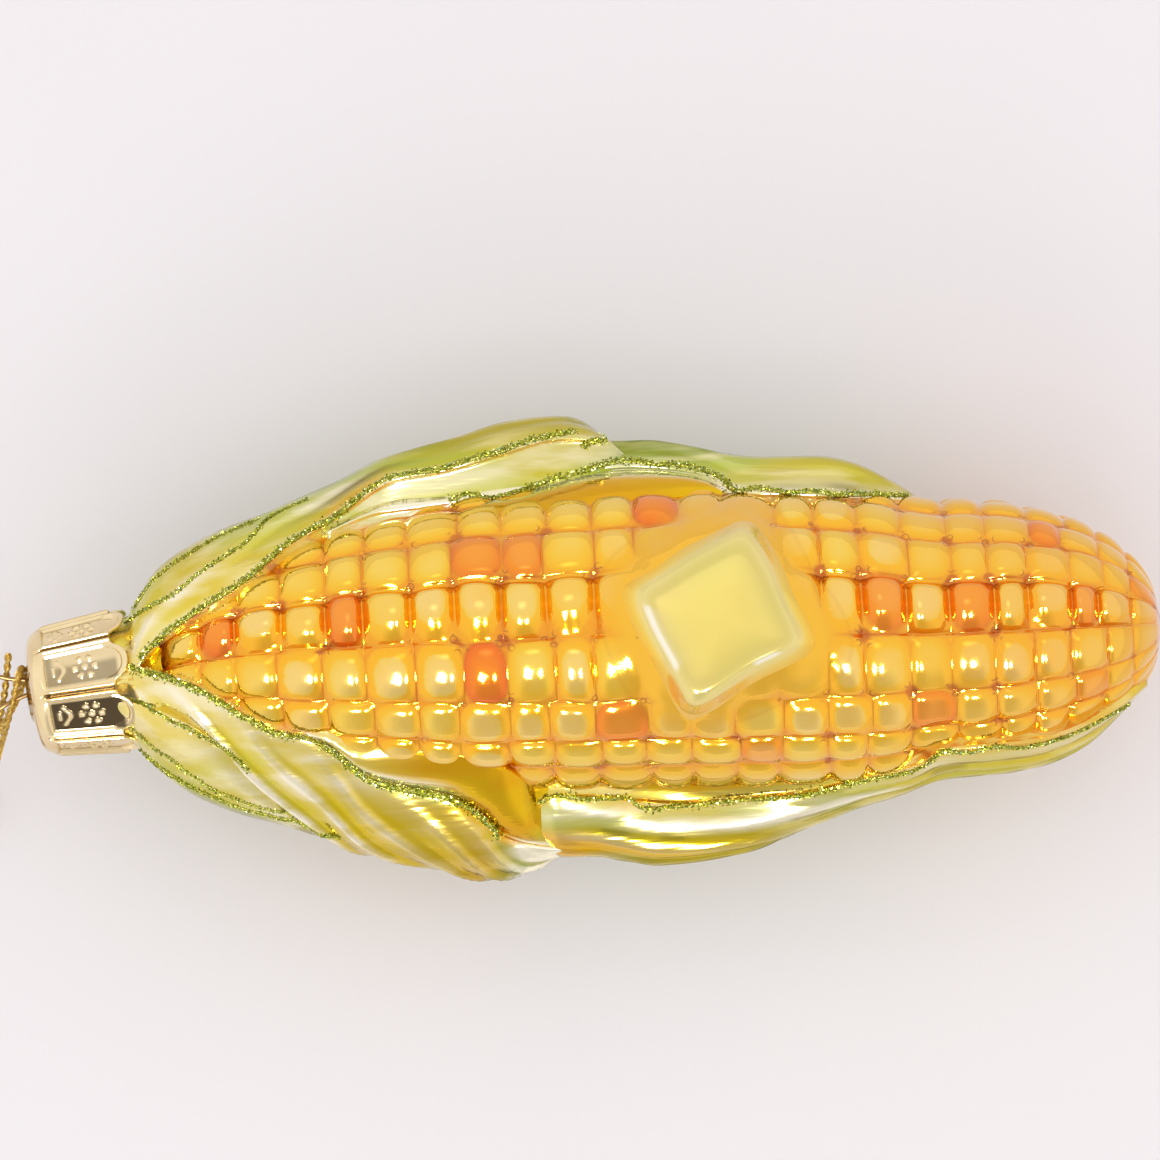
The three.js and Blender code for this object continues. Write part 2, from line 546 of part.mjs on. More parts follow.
function coil() {
  const half = (COIL_TURNS_WIDE * CORD_DIAMETER) / 2;
  const height = COIL_LAYERS * CORD_DIAMETER;
  const round = 0.3;
  const profile = [
    [COIL_MID_RADIUS - half, round], [COIL_MID_RADIUS - half, height - round],
    [COIL_MID_RADIUS - half + round, height], [COIL_MID_RADIUS + half - round, height],
    [COIL_MID_RADIUS + half, height - round], [COIL_MID_RADIUS + half, round],
    [COIL_MID_RADIUS + half - round, 0], [COIL_MID_RADIUS - half + round, 0],
    [COIL_MID_RADIUS - half, round],
  ].reverse().map(([radius, z]) => new THREE.Vector2(radius, z));
  const ring = new THREE.LatheGeometry(profile, 24);
  ring.rotateX(Math.PI / 2);
  return ring;
}

// ---- Putting it together
const glass = piece('glass_body', glassBody(), glassFinish);
const crown = piece('cap', cap(), capFinish);
const hanger = piece('hanger_wire', tube(hangerRoute, WIRE_DIAMETER, 56), wireFinish);
const cord = piece('cord', tube(cordRoute, CORD_DIAMETER, 76), cordFinish);
const coiled = piece('cord_coil', coil(), cordFinish);
const knot = piece('cord_knot', new THREE.SphereGeometry(KNOT_DIAMETER / 2, 12, 8), cordFinish);

coiled.position.set(...COIL_CENTRE, floorZ);
knot.position.set(COIL_CENTRE[0], COIL_CENTRE[1] - KNOT_OFFSET, floorZ + KNOT_DIAMETER / 2);

const fittings = new THREE.Group();
fittings.add(crown, hanger);
fittings.position.set(CAP_X, 0.1, 0);
fittings.rotation.z = radians(CAP_TURN);

const ornament = new THREE.Group();
ornament.add(glass, fittings, cord, coiled, knot);
ornament.position.set(-REST_X, 0, REST_DEPTH);

const group = new THREE.Group();
group.add(ornament);

export default group;
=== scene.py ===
import math
import random

import bmesh
import bpy
from mathutils import Matrix, Vector, noise
from mathutils.bvhtree import BVHTree


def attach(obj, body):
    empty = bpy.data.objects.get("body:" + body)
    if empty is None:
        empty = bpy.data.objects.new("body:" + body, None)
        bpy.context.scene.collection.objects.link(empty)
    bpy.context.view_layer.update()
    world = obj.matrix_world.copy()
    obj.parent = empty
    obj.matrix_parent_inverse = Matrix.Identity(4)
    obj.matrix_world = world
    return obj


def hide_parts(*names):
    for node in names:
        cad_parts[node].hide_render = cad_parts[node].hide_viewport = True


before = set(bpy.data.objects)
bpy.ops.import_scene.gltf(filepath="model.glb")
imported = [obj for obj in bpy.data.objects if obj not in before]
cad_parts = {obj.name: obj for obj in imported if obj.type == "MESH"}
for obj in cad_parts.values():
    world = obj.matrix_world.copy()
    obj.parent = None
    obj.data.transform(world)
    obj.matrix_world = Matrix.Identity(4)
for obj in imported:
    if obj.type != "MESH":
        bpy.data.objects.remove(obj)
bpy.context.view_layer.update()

# The camera. The ornament lies on its back and the camera looks straight down on it through
# a long lens, turned a little so that the ear climbs to the right.
MM = 0.001
REST_X = 58.0                # the ear's own X, from the glass shoulder, of the point it rests on
REST_DEPTH = 19.6            # that point's depth under the mould's parting plane
VIEW_PIXELS = 1160
PIXELS_PER_MM = 8.87
CAMERA_DISTANCE = 0.9
VIEW_MIDDLE = (52.97, 8.64)  # what the camera hangs over, in the ear's axes
VIEW_TURN = -3.11            # degrees


def place(x, y, z):
    """A point of the ornament in metres, from the ear's own axes in millimetres."""
    return Vector(((x - REST_X) * MM, y * MM, (z + REST_DEPTH) * MM))


lens = bpy.data.cameras.new("view")
lens.sensor_width = 36.0
lens.lens = lens.sensor_width * CAMERA_DISTANCE / (VIEW_PIXELS / PIXELS_PER_MM * MM)
lens.clip_start = 0.01
camera = bpy.data.objects.new("view", lens)
camera.location = place(*VIEW_MIDDLE, CAMERA_DISTANCE / MM)
camera.rotation_euler = (0, 0, math.radians(VIEW_TURN))
bpy.context.collection.objects.link(camera)
bpy.context.scene.camera = camera
bpy.context.scene.view_settings.view_transform = "Standard"


# The string: two plies of gold metallised thread twisted together, about 0.9 mm thick. It is
# hooked over the hanger's wire, drops beside the ornament and is wound up on the surface.
def linear(hex_colour):
    """An sRGB hex colour as linear red, green, blue and alpha."""
    parts = [int(hex_colour[i : i + 2], 16) / 255 for i in (1, 3, 5)]
    return [c / 12.92 if c <= 0.04045 else ((c + 0.055) / 1.055) ** 2.4 for c in parts] + [1.0]


A_COLOUR, B_COLOUR = 6, 7    # the sockets of a Mix node's two colours


def add_node(tree, kind, inputs=None, stops=(), **settings):
    """Adds a node with its settings. In inputs, a node or a socket is linked and a value is set.

    A node is linked by its factor or else by its first live output. stops are a ramp's colours."""
    new = tree.nodes.new("ShaderNode" + kind)
    for name, value in settings.items():
        setattr(new, name, value)
    for socket, value in (inputs or {}).items():
        if isinstance(value, bpy.types.Node):
            value = value.outputs.get("Fac") or next(output for output in value.outputs if output.enabled)
        if isinstance(value, bpy.types.NodeSocket):
            tree.links.new(value, new.inputs[socket])
        else:
            new.inputs[socket].default_value = linear(value) if isinstance(value, str) else value
    while stops and len(new.color_ramp.elements) < len(stops):
        new.color_ramp.elements.new(0.5)
    for i, (position, colour) in enumerate(stops):
        new.color_ramp.elements[i].position = position
        new.color_ramp.elements[i].color = linear(colour)
    return new


def new_finish(name):
    """A bare material, and the tree that its nodes go in."""
    finish = bpy.data.materials.new(name)
    finish.use_nodes = True
    finish.node_tree.nodes.clear()
    return finish, finish.node_tree


def smooth(value, low, high):
    """0 below low, 1 above high, and a soft rise between them."""
    t = min(1.0, max(0.0, (value - low) / (high - low)))
    return t * t * (3 - 2 * t)


def mix(a, b, t):
    return a + (b - a) * t


WELD = 0.0005 * MM           # points closer than this are one


def skin_over(rings, marks):
    """A closed skin over equal rings of points. marks gives each named mark's value for every point."""
    bm = bmesh.new()
    layers = {name: bm.verts.layers.float.new(name) for name in marks}
    last = len(rings) - 1
    size = len(rings[0])
    bmesh.ops.create_grid(bm, x_segments=last, y_segments=size, size=1)
    for vert in bm.verts:
        i = round((vert.co.x + 1) / 2 * last)
        j = round((vert.co.y + 1) / 2 * size) % size
        vert.co = rings[i][j]
        for name, layer in layers.items():
            vert[layer] = marks[name][i][j]
    bmesh.ops.remove_doubles(bm, verts=bm.verts, dist=WELD)
    bmesh.ops.recalc_face_normals(bm, faces=bm.faces)
    return bm


def finished(name, bm, material):
    """Turns a bmesh into a smooth piece of the ornament."""
    mesh = bpy.data.meshes.new(name)
    bm.to_mesh(mesh)
    bm.free()
    mesh.materials.append(material)
    for face in mesh.polygons:
        face.use_smooth = True
    piece = bpy.data.objects.new(name, mesh)
    bpy.context.collection.objects.link(piece)
    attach(piece, "root")
    return piece


def line_through(points, step):
    """Points every step along a smooth curve through the given ones."""
    points = [Vector(p) for p in points]
    padded = [2 * points[0] - points[1]] + points + [2 * points[-1] - points[-2]]
    fine = []
    for before, a, b, after in zip(padded, padded[1:], padded[2:], padded[3:]):
        knots = [0.0]
        for p, q in ((before, a), (a, b), (b, after)):
            knots.append(knots[-1] + max((q - p).length, 1e-9) ** 0.5)
        t0, t1, t2, t3 = knots
        pieces = max(4, math.ceil((b - a).length / step * 3))
        for i in range(pieces):
            t = t1 + (t2 - t1) * i / pieces
            a1 = before.lerp(a, (t - t0) / (t1 - t0))
            a2 = a.lerp(b, (t - t1) / (t2 - t1))
            a3 = b.lerp(after, (t - t2) / (t3 - t2))
            b1 = a1.lerp(a2, (t - t0) / (t2 - t0))
            b2 = a2.lerp(a3, (t - t1) / (t3 - t1))
            fine.append(b1.lerp(b2, (t - t1) / (t2 - t1)))
    fine.append(points[-1])
    even = [fine[0]]
    walked = 0.0
    for p, q in zip(fine, fine[1:]):
        length = (q - p).length
        while length > 0 and walked + length >= step:
            p = p.lerp(q, (step - walked) / length)
            length = (q - p).length
            walked = 0.0
            even.append(p)
        walked += length
    return even


def axes_along(line):
    """Each point of a line with two axes across it, which don't twist about it."""
    found = []
    across = Vector((0.1, 0.2, 1))
    for i, point in enumerate(line):
        ahead = (line[min(i + 1, len(line) - 1)] - line[max(i - 1, 0)]).normalized()
        across = (across - ahead * across.dot(ahead)).normalized()
        found.append((point, across, ahead.cross(across)))
    return found


def close_ends(rings, marks):
    """Draws both ends of the rings together to a point, where each mark repeats its last row."""
    for end in (0, -1):
        hub = sum(rings[end], Vector()) / len(rings[end])
        ends = [(rings, [hub] * len(rings[end]))] + [(rows, rows[end]) for rows in marks.values()]
        for rows, row in ends:
            rows.insert(0 if end == 0 else len(rows), row)


def tube_along(line, radius, sides, turn_length=0.0, offset=0.0, start=0.0):
    """The skin of a round tube along a line. With an offset it winds round the line."""
    rings = []
    marks = {"round": [], "along": []}
    walked = 0.0
    stations = axes_along(line)
    for i, (point, across, up) in enumerate(stations):
        walked += (point - stations[i - 1][0]).length if i else 0.0
        wound = start + (2 * math.pi * walked / turn_length if turn_length else 0.0)
        middle = point + offset * (math.cos(wound) * across + math.sin(wound) * up)
        angles = [wound + 2 * math.pi * j / sides for j in range(sides)]
        rings.append([middle + radius * (math.cos(a) * across + math.sin(a) * up) for a in angles])
        marks["round"].append([abs(2 * j / sides - 1) for j in range(sides)])
        marks["along"].append([walked / MM] * sides)
    close_ends(rings, marks)
    return skin_over(rings, marks)


CORD_DIAMETER = 0.9
PLY_DIAMETER = 0.52
PLY_PITCH = 2.1              # one full turn of the twist
PLY_SIDES = 8
CORD_STEP = 0.17
COIL_CENTRE = (-22.9, -12.6)
COIL_MID_RADIUS = 4.9
COIL_LAPS = 2.78
COIL_CORE = 2.9              # radius that its end turns in to
SECOND_LAYER = 0.78          # how far the third lap lies above the first two
LAP_POINTS = 16
FLOOR = -REST_DEPTH          # in the ear's axes
half_cord = CORD_DIAMETER / 2

cord_route = [
    (-11.9, 3.9, -1.3), (-12.2, 1.8, -1.2), (-12.7, -1.0, -1.5), (-13.5, -3.6, -2.1), (-14.9, -6.0, -3.2),
    (-16.4, -7.6, -5.0), (-16.9, -7.9, -7.2), (-15.6, -6.6, -8.2), (-13.6, -4.4, -6.6), (-12.0, -2.3, -4.2),
    (-10.9, -0.5, -2.2), (-10.4, 0.9, -1.3), (-10.4, 2.0, -0.3), (-10.6, 1.7, 1.1), (-11.0, 0.4, 1.4),
    (-11.6, -1.7, 1.1), (-12.5, -4.2, 0.2), (-13.5, -6.6, -2.4), (-14.4, -8.6, -6.4), (-15.2, -10.3, -11.0),
    (-16.1, -12.2, -15.0), (-17.0, -14.6, FLOOR + 1.5), (-17.9, -16.6, FLOOR + 0.75),
]
coil_start = math.atan2(cord_route[-1][1] - COIL_CENTRE[1], cord_route[-1][0] - COIL_CENTRE[0])


def coil_track(lap):
    """The coil's radius and height, in laps from where the string comes in."""
    second = smooth(lap, 1.0, 1.13)   # steps in beside the first lap
    third = smooth(lap, 1.86, 2.02)   # climbs on top of both
    ending = smooth(lap, 2.42, COIL_LAPS)
    radius = COIL_MID_RADIUS + half_cord + 1 - smooth(lap, 0, 0.13)
    radius += half_cord * third - CORD_DIAMETER * second
    rise = half_cord + 0.26 * (1 - smooth(lap, 0, 0.2)) + SECOND_LAYER * third
    return mix(radius, COIL_CORE, ending), rise


for step in range(1, int(COIL_LAPS * LAP_POINTS) + 1):
    lap = step / LAP_POINTS
    angle = coil_start - 2 * math.pi * lap
    radius, rise = coil_track(lap)
    x = COIL_CENTRE[0] + radius * math.cos(angle)
    y = COIL_CENTRE[1] + radius * math.sin(angle)
    cord_route.append((x, y, FLOOR + rise))

FILAMENT_WIDTH = 0.16        # coarser than the real film, which is too fine to show
FILAMENT_LEAN = 2.2          # how far the film slants along the ply from its one side to the other
GLINTS_PER_MM = 2.6          # patches of painted shade, where a filament turns away from the light
metallised_thread, tree = new_finish("metallised_polyester_thread")
# Fine gold film wound on a core, with painted highlight where it faces the light and brown painted shade deep
# between the plies.
around = add_node(tree, "Attribute", attribute_name="round")
along = add_node(tree, "Attribute", attribute_name="along")
slanted = add_node(tree, "Math", {0: around, 1: FILAMENT_LEAN, 2: along}, operation="MULTIPLY_ADD")
phase = add_node(tree, "Math", {0: slanted, 1: 2 * math.pi / FILAMENT_WIDTH}, operation="MULTIPLY")
filaments = add_node(tree, "Math", {0: phase}, operation="SINE")
film = add_node(tree, "MapRange", {"Value": filaments, "From Min": -1.0, "From Max": 1.0})
coordinates = add_node(tree, "TexCoord").outputs["Object"]
glint = add_node(tree, "TexNoise", {"Vector": coordinates, "Scale": GLINTS_PER_MM / MM, "Detail": 2.0})
# Patches of painted shade over the thread.
thread_shade = add_node(tree, "ValToRGB", {"Fac": glint}, [(0.46, "#000000"), (0.62, "#B0B0B0")])
gold = add_node(tree, "ValToRGB", {"Fac": film}, [(0.0, "#8C5A10"), (0.45, "#E4B034"), (1.0, "#FFEA90")])
gold = add_node(tree, "Mix", {"Factor": thread_shade, A_COLOUR: gold, B_COLOUR: "#6E4612"}, data_type="RGBA")
ribbed = add_node(tree, "Bump", {"Height": film, "Strength": 0.7, "Distance": 0.05 * MM})
shader = add_node(tree, "BsdfPrincipled", {
    "Base Color": gold, "Metallic": 0.75, "Roughness": 0.36, "Normal": ribbed,
})
add_node(tree, "OutputMaterial", {"Surface": shader})

cord_line = line_through([place(*p) for p in cord_route], CORD_STEP * MM)
plies = []
for ply in range(2):
    skin = tube_along(
        cord_line, PLY_DIAMETER / 2 * MM, PLY_SIDES,
        turn_length=PLY_PITCH * MM, offset=(half_cord - PLY_DIAMETER / 2) * MM, start=math.pi * ply,
    )
    plies.append(finished(f"string_ply_{ply}", skin, metallised_thread))


def join(name, pieces):
    """Joins pieces into the first one."""
    with bpy.context.temp_override(
        active_object=pieces[0], object=pieces[0], selected_objects=pieces, selected_editable_objects=pieces
    ):
        bpy.ops.object.join()
    pieces[0].name = name
    return pieces[0]


string = join("string", plies)
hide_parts("cord", "cord_coil")

KNOT_DIAMETER = 2.2
KNOT_OFFSET = 2.5
KNOT_LOOP = 0.341            # radius of the knot's own loops
KNOT_STEPS = 120
knot_middle = place(COIL_CENTRE[0], COIL_CENTRE[1] - KNOT_OFFSET, FLOOR + KNOT_DIAMETER / 2)
knot_line = []
for step in range(KNOT_STEPS + 1):
    a = 2 * math.pi * step / KNOT_STEPS
    wide = KNOT_LOOP * (math.sin(a) + 0.75 * math.sin(2 * a))
    tall = KNOT_LOOP * (math.cos(a) - 0.75 * math.cos(2 * a))
    knot_line.append(knot_middle + Vector((wide, tall, -0.38 * math.sin(3 * a))) * MM)
knot_skin = tube_along(knot_line, half_cord * 1.05 * MM, 12)
knot = finished("string_knot", knot_skin, metallised_thread)
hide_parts("cord_knot")


# The hanger: one length of brass-coloured spring wire, bent to an eye above the cap. Its two
# legs pass through the cap and spring apart in the neck.
WIRE_DIAMETER = 0.5
CAP_TURN = math.radians(5.5)
CAP_MIDDLE = (0.4, 0.1)


def from_cap(x, y, z):
    """A point from the cap's own axes, which sit a little askew on the neck."""
    return place(
        CAP_MIDDLE[0] + x * math.cos(CAP_TURN) - y * math.sin(CAP_TURN),
        CAP_MIDDLE[1] + x * math.sin(CAP_TURN) + y * math.cos(CAP_TURN),
        z,
    )


hanger_route = [
    (6, -1.9), (0, -1.6), (-6, -0.6), (-9.6, 0.05), (-12.2, -0.5), (-15.2, -1.7), (-18.2, -2.5),
    (-21.0, -1.6), (-22.2, 0.8), (-21.0, 3.2), (-18.2, 4.1), (-15.2, 3.3), (-12.2, 2.1), (-9.6, 1.6),
    (-6, 2.2), (0, 3.1), (6, 3.3),
]
hanger_line = line_through([from_cap(x, y, 0) for x, y in hanger_route], 0.3 * MM)

BLOOM_PER_MM = 0.42
drawn_wire, tree = new_finish("brass_plated_spring_wire")
# Drawn through a die and plated: a bright metal whose polish and colour come and go along it.
coordinates = add_node(tree, "TexCoord").outputs["Object"]
bloom = add_node(tree, "TexNoise", {"Vector": coordinates, "Scale": BLOOM_PER_MM / MM, "Detail": 3.0})
tone = add_node(tree, "ValToRGB", {"Fac": bloom}, [(0.3, "#7A5A36"), (0.7, "#B9925A")])
drawn = add_node(tree, "MapRange", {"Value": bloom, "To Min": 0.16, "To Max": 0.34})
shader = add_node(tree, "BsdfPrincipled", {"Base Color": tone, "Metallic": 1.0, "Roughness": drawn})
add_node(tree, "OutputMaterial", {"Surface": shader})
hanger_skin = tube_along(hanger_line, WIRE_DIAMETER / 2 * MM, 14)
hanger = finished("hanger", hanger_skin, drawn_wire)
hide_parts("hanger_wire")


# The crown cap: drawn from one disc of thin tinplate, lacquered pale gold. Eight panels are
# pressed into its skirt between double ridges, and each ends in a rounded tongue.
CAP_LENGTH = 9.6
CAP_TOP_RADIUS = 6.85
CAP_SKIRT_RADIUS = 7.85
CAP_PANELS = 8
CAP_WALL = 0.45
TONGUE_LENGTH = 1.75
TONGUE_HALF_WIDTH = 0.33     # as a share of the panel
FIRST_CREASE = -4.4          # degrees round from the front
RECESS_DEPTH = 0.6
RIDGE_HEIGHT = 0.38
CREASE_DEPTH = 0.75
ARCH_START = -0.6            # where the recess starts to round off into the tongue
RIM_HEIGHT = 0.1             # how far the metal stands up round the recess
PANEL_SAMPLES = 54


def hump(value, middle, width):
    """A rounded ridge of height 1 at middle."""
    return math.exp(-(((value - middle) / width) ** 2))


def cap_relief(x, across):
    """The height pressed into the skirt. across runs from -1 to 1 over one panel, x from -9.6 to 0."""
    side = abs(across)
    height = RIDGE_HEIGHT * hump(side, 0.87, 0.06) - CREASE_DEPTH * hump(side, 1.0, 0.06)
    flat_floor = CAP_SKIRT_RADIUS * (1 / math.cos(across * math.pi / CAP_PANELS) - 1)
    bar = 1 - smooth(side, 0.66, 0.74)
    if x > ARCH_START:
        reach = (x - ARCH_START) / (TONGUE_LENGTH - ARCH_START - 0.45)
        round_end = math.hypot(side / (2 * TONGUE_HALF_WIDTH), reach)
        bar = 1 - smooth(round_end, 0.84, 1.0)
    recess = bar * smooth(x, -8.0, -7.5)
    height -= (RECESS_DEPTH - flat_floor) * recess
    rim = 4 * recess * (1 - recess)
    return height + RIM_HEIGHT * rim + cap_motif(x, across) * recess


def cap_motif(x, across):
    """A plain ornament in each recess: a ring of beads round a boss, and a short scroll above it."""
    u, v = x + 3.1, across * 2.9
    ring = math.hypot(u, v)
    spoke = 0.5 + 0.5 * math.cos(6 * math.atan2(v, u))
    motif = 0.30 * hump(ring, 1.12, 0.30) * smooth(spoke, 0.2, 0.7) + 0.26 * hump(ring, 0.0, 0.36)
    scroll = u + 2.75 - 0.35 * math.cos(v * 2.4)
    motif += 0.24 * hump(scroll, 0.0, 0.26) * (1 - smooth(abs(v), 1.1, 1.5))
    motif += 0.22 * hump(u + 3.6, 0.0, 0.22) * (1 - smooth(abs(v), 0.4, 0.8))
    return motif


SHADED_RECESSES = {0: 0.55, 7: 0.92}  # panels whose recess is darkened as painted dark reflection, and how far


def crease_and_recess_shade(x, j):
    """How much painted shade lies at place j round the skirt: in the creases, and as painted dark reflection
    round the motifs of two recesses.
    """
    panel = j // PANEL_SAMPLES
    across = 2 * (j % PANEL_SAMPLES) / PANEL_SAMPLES - 1
    in_recess = (1 - smooth(abs(across), 0.6, 0.68)) * smooth(x, -7.8, -7.4) * (1 - smooth(x, 0.3, 0.8))
    # The upper half of the first panel's recess is kept lighter, as painted light.
    lit_top = 0.85 * smooth(across, 0.0, 0.3) * smooth(x, -7.2, -6.4) if panel == 0 else 0.0
    kept = (1 - smooth(cap_motif(x, across), 0.05, 0.14)) * (1 - lit_top)
    return max(hump(abs(across), 1.0, 0.06), SHADED_RECESSES.get(panel, 0.0) * in_recess * kept)


def cap_edge(across):
    """How far the skirt reaches: a straight edge with shoulders, and a round tongue on each panel."""
    side = abs(across)
    reach = side / (2 * TONGUE_HALF_WIDTH)
    tongue = math.sqrt(max(0.0, 1 - reach * reach)) * TONGUE_LENGTH
    return max(tongue, 0.45 * (1 - smooth(side, 0.62, 0.82))) - 0.15 * smooth(side, 0.9, 1.0)


def cap_radius(x):
    """The skirt's flare, and the rounded shoulder into the top."""
    flare = mix(CAP_SKIRT_RADIUS, CAP_TOP_RADIUS, -x / CAP_LENGTH)
    over = max(0.0, -CAP_LENGTH + 1.5 - x) / 1.5
    return flare - 1.35 * (1 - math.sqrt(max(0.0, 1 - over * over)))


def cap_ring(depth, x_at, wall=0.0):
    """One ring of the skirt, and its painted shade."""
    ring, cap_shade = [], []
    for j in range(CAP_PANELS * PANEL_SAMPLES):
        across = 2 * (j % PANEL_SAMPLES) / PANEL_SAMPLES - 1
        angle = math.radians(FIRST_CREASE) + 2 * math.pi * j / (CAP_PANELS * PANEL_SAMPLES)
        x = x_at(depth, across)
        fade = smooth(x, -CAP_LENGTH + 1.0, -CAP_LENGTH + 2.2)
        radius = cap_radius(x) - wall + (cap_relief(x, across) * fade if wall < 1 else 0.0)
        ring.append(from_cap(x, radius * math.sin(angle), radius * math.cos(angle)))
        cap_shade.append(crease_and_recess_shade(x, j) * fade)
    return ring, cap_shade


def flat_ring(x, radius):
    """A plain ring of the cap's top, in step with the skirt's."""
    count = CAP_PANELS * PANEL_SAMPLES
    turn = math.radians(FIRST_CREASE)
    angles = [turn + 2 * math.pi * j / count for j in range(count)]
    return [from_cap(x, radius * math.sin(a), radius * math.cos(a)) for a in angles], [0.0] * count


def along_skirt(depth, across):
    """X at a share of the way from the top of the skirt to its edge."""
    return mix(-CAP_LENGTH, cap_edge(across), depth)


TOP_RINGS = [  # how far each ring of the pressed top stands over the skirt, and its radius
    (0.28, 0.0), (0.28, 0.9), (0.3, 1.9), (0.62, 2.35), (0.66, 2.9), (0.3, 3.4), (0.18, 4.4),
]
SHOULDER_DEPTHS = [0.0, 0.008, 0.02, 0.035, 0.055, 0.08, 0.11, 0.14]
SKIRT_START = 0.17
SKIRT_STEPS = 62
UNDER_TOP = 0.3
outside = [flat_ring(-CAP_LENGTH - rise, radius) for rise, radius in TOP_RINGS]
skirt_depths = SHOULDER_DEPTHS + [mix(SKIRT_START, 1.0, k / SKIRT_STEPS) for k in range(SKIRT_STEPS + 1)]
outside += [cap_ring(depth, along_skirt) for depth in skirt_depths]
rolled = [cap_ring(1.0, lambda depth, across: along_skirt(depth, across) + 0.12, wall=CAP_WALL / 2)]
within = [cap_ring(depth, along_skirt, wall=CAP_WALL) for depth in (1.0, 0.8, 0.6, 0.4, 0.2, 0.1)]
within += [flat_ring(UNDER_TOP - CAP_LENGTH, radius) for radius in (CAP_TOP_RADIUS - 1.9, 2.2, 0.0)]

PORES_PER_MM = 1.9
CLOUDS_PER_MM = 0.26
lacquered_tinplate, tree = new_finish("gold_lacquered_tinplate")
# Bright tinplate under pale gold lacquer: almost a mirror, with fine pores and rub marks on top.
coordinates = add_node(tree, "TexCoord").outputs["Object"]
pores = add_node(tree, "TexNoise", {"Vector": coordinates, "Scale": PORES_PER_MM / MM, "Detail": 2.0})
clouds = add_node(tree, "TexNoise", {"Vector": coordinates, "Scale": CLOUDS_PER_MM / MM, "Detail": 3.0})
tone = add_node(tree, "ValToRGB", {"Fac": clouds}, [(0.3, "#E6CE9C"), (0.7, "#F2DEB0")])
worn = add_node(tree, "MapRange", {"Value": clouds, "To Min": 0.06, "To Max": 0.2})
pitted = add_node(tree, "Bump", {"Height": pores, "Strength": 0.18, "Distance": 0.04 * MM})
shade_on_cap = add_node(tree, "Attribute", attribute_name="cap_shade")
# Painted shade in the creases and painted dark reflection in two recesses darken the lacquer.
tone = add_node(tree, "Mix", {"Factor": shade_on_cap, A_COLOUR: tone, B_COLOUR: "#4A3A26"}, data_type="RGBA")
shader = add_node(tree, "BsdfPrincipled", {
    "Base Color": tone, "Metallic": 1.0, "Roughness": worn, "Normal": pitted,
})
add_node(tree, "OutputMaterial", {"Surface": shader})
cap_rings, cap_shade = zip(*(outside + rolled + within))
crown = finished("crown_cap", skin_over(cap_rings, {"cap_shade": cap_shade}), lacquered_tinplate)
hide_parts("cap")


# The cob: the upper half of the mould's ear, sixteen rows of kernels round a tapering rod,
# blown in one with the husk, silvered inside and lacquered amber outside by brush.
EAR_LENGTH = 118.3
ROW_EDGES = [  # degrees round from the front, where each row meets the next
    0.5, 25.3, 45.3, 66.3, 88, 110, 132, 154.5, 177, 199.5, 222, 249, 276, 302.8, 317.6, 335.8, 360.5,
]
KERNEL_PITCH = 4.95          # what the joints are spaced by, before they are fitted to the ear
KERNEL_LENGTH = 4.9          # with the width, what the spots in the kernels' corners are scaled by
KERNEL_WIDTH = 6.2
KERNEL_HEIGHT = 0.68
FRONT_KERNEL_HEIGHT = 1.45   # the front row stands higher, as two halves of the mould met in it
FIRST_KERNEL_X = 6.0
LAST_KERNEL_X = 117.4
TIP_START = 92.0
TIP_POWER = 2.4
BUTTER_SIDE = 14.8
BUTTER_TURN = math.radians(25.0)
BUTTER_TILT = math.radians(7.0)
BUTTER_MIDDLE = (68.0, 3.9)
BUTTER_TOP = 20.7
POOL_RADIUS = 11.2


def through(points):
    """A smooth function through the points (x, y), level beyond its ends."""
    last = len(points) - 1
    slopes = []
    for i in range(len(points)):
        before, after = points[max(i - 1, 0)], points[min(i + 1, last)]
        slopes.append((after[1] - before[1]) / (after[0] - before[0]))

    def value(x):
        if x <= points[0][0]:
            return points[0][1]
        if x >= points[last][0]:
            return points[last][1]
        i = next(k for k in range(last) if points[k + 1][0] > x)
        (x0, y0), (x1, y1) = points[i], points[i + 1]
        t = (x - x0) / (x1 - x0)
        ease = slopes[i] * t * (1 - t) ** 2 - slopes[i + 1] * t * t * (1 - t)
        return mix(y0, y1, t * t * (3 - 2 * t)) + (x1 - x0) * ease

    return value


cob_body = through([
    (0, 4.6), (5, 7.6), (10, 10.4), (20, 13.6), (30, 15.7), (41, 17.2), (58, 17.8), (75, 17.6), (85, 16.9),
    (TIP_START, 15.5),
])
cob_shift = through([(0, 0), (12, 2.0), (25, 2.4), (60, 2.0), (75, 1.3), (95, 0.2)])
kernel_share = through([(6, 0.84), (22, 1), (80, 1), (95, 0.92), (105, 0.8), (111, 0.69), (117, 0.56)])


def cob_radius(x):
    """The cob under its kernels, which rounds off at the tip."""
    along = min(1.0, max(0.0, (x - TIP_START) / (EAR_LENGTH - TIP_START)))
    return cob_body(x) * math.sqrt(1 - along**TIP_POWER)


def uneven(*key):
    """The same small unevenness every time for the same whole numbers, between -1 and 1."""
    return 2 * random.Random(sum(k * f for k, f in zip(key, (7919, 104729, 1299709)))).random() - 1


joints = [FIRST_KERNEL_X]
while joints[-1] < LAST_KERNEL_X - 1.5:
    joints.append(joints[-1] + KERNEL_PITCH * kernel_share(joints[-1]))
spare = (LAST_KERNEL_X - FIRST_KERNEL_X) / (joints[-1] - FIRST_KERNEL_X)
joints = [FIRST_KERNEL_X + (x - FIRST_KERNEL_X) * spare for x in joints]
columns = len(joints) - 1


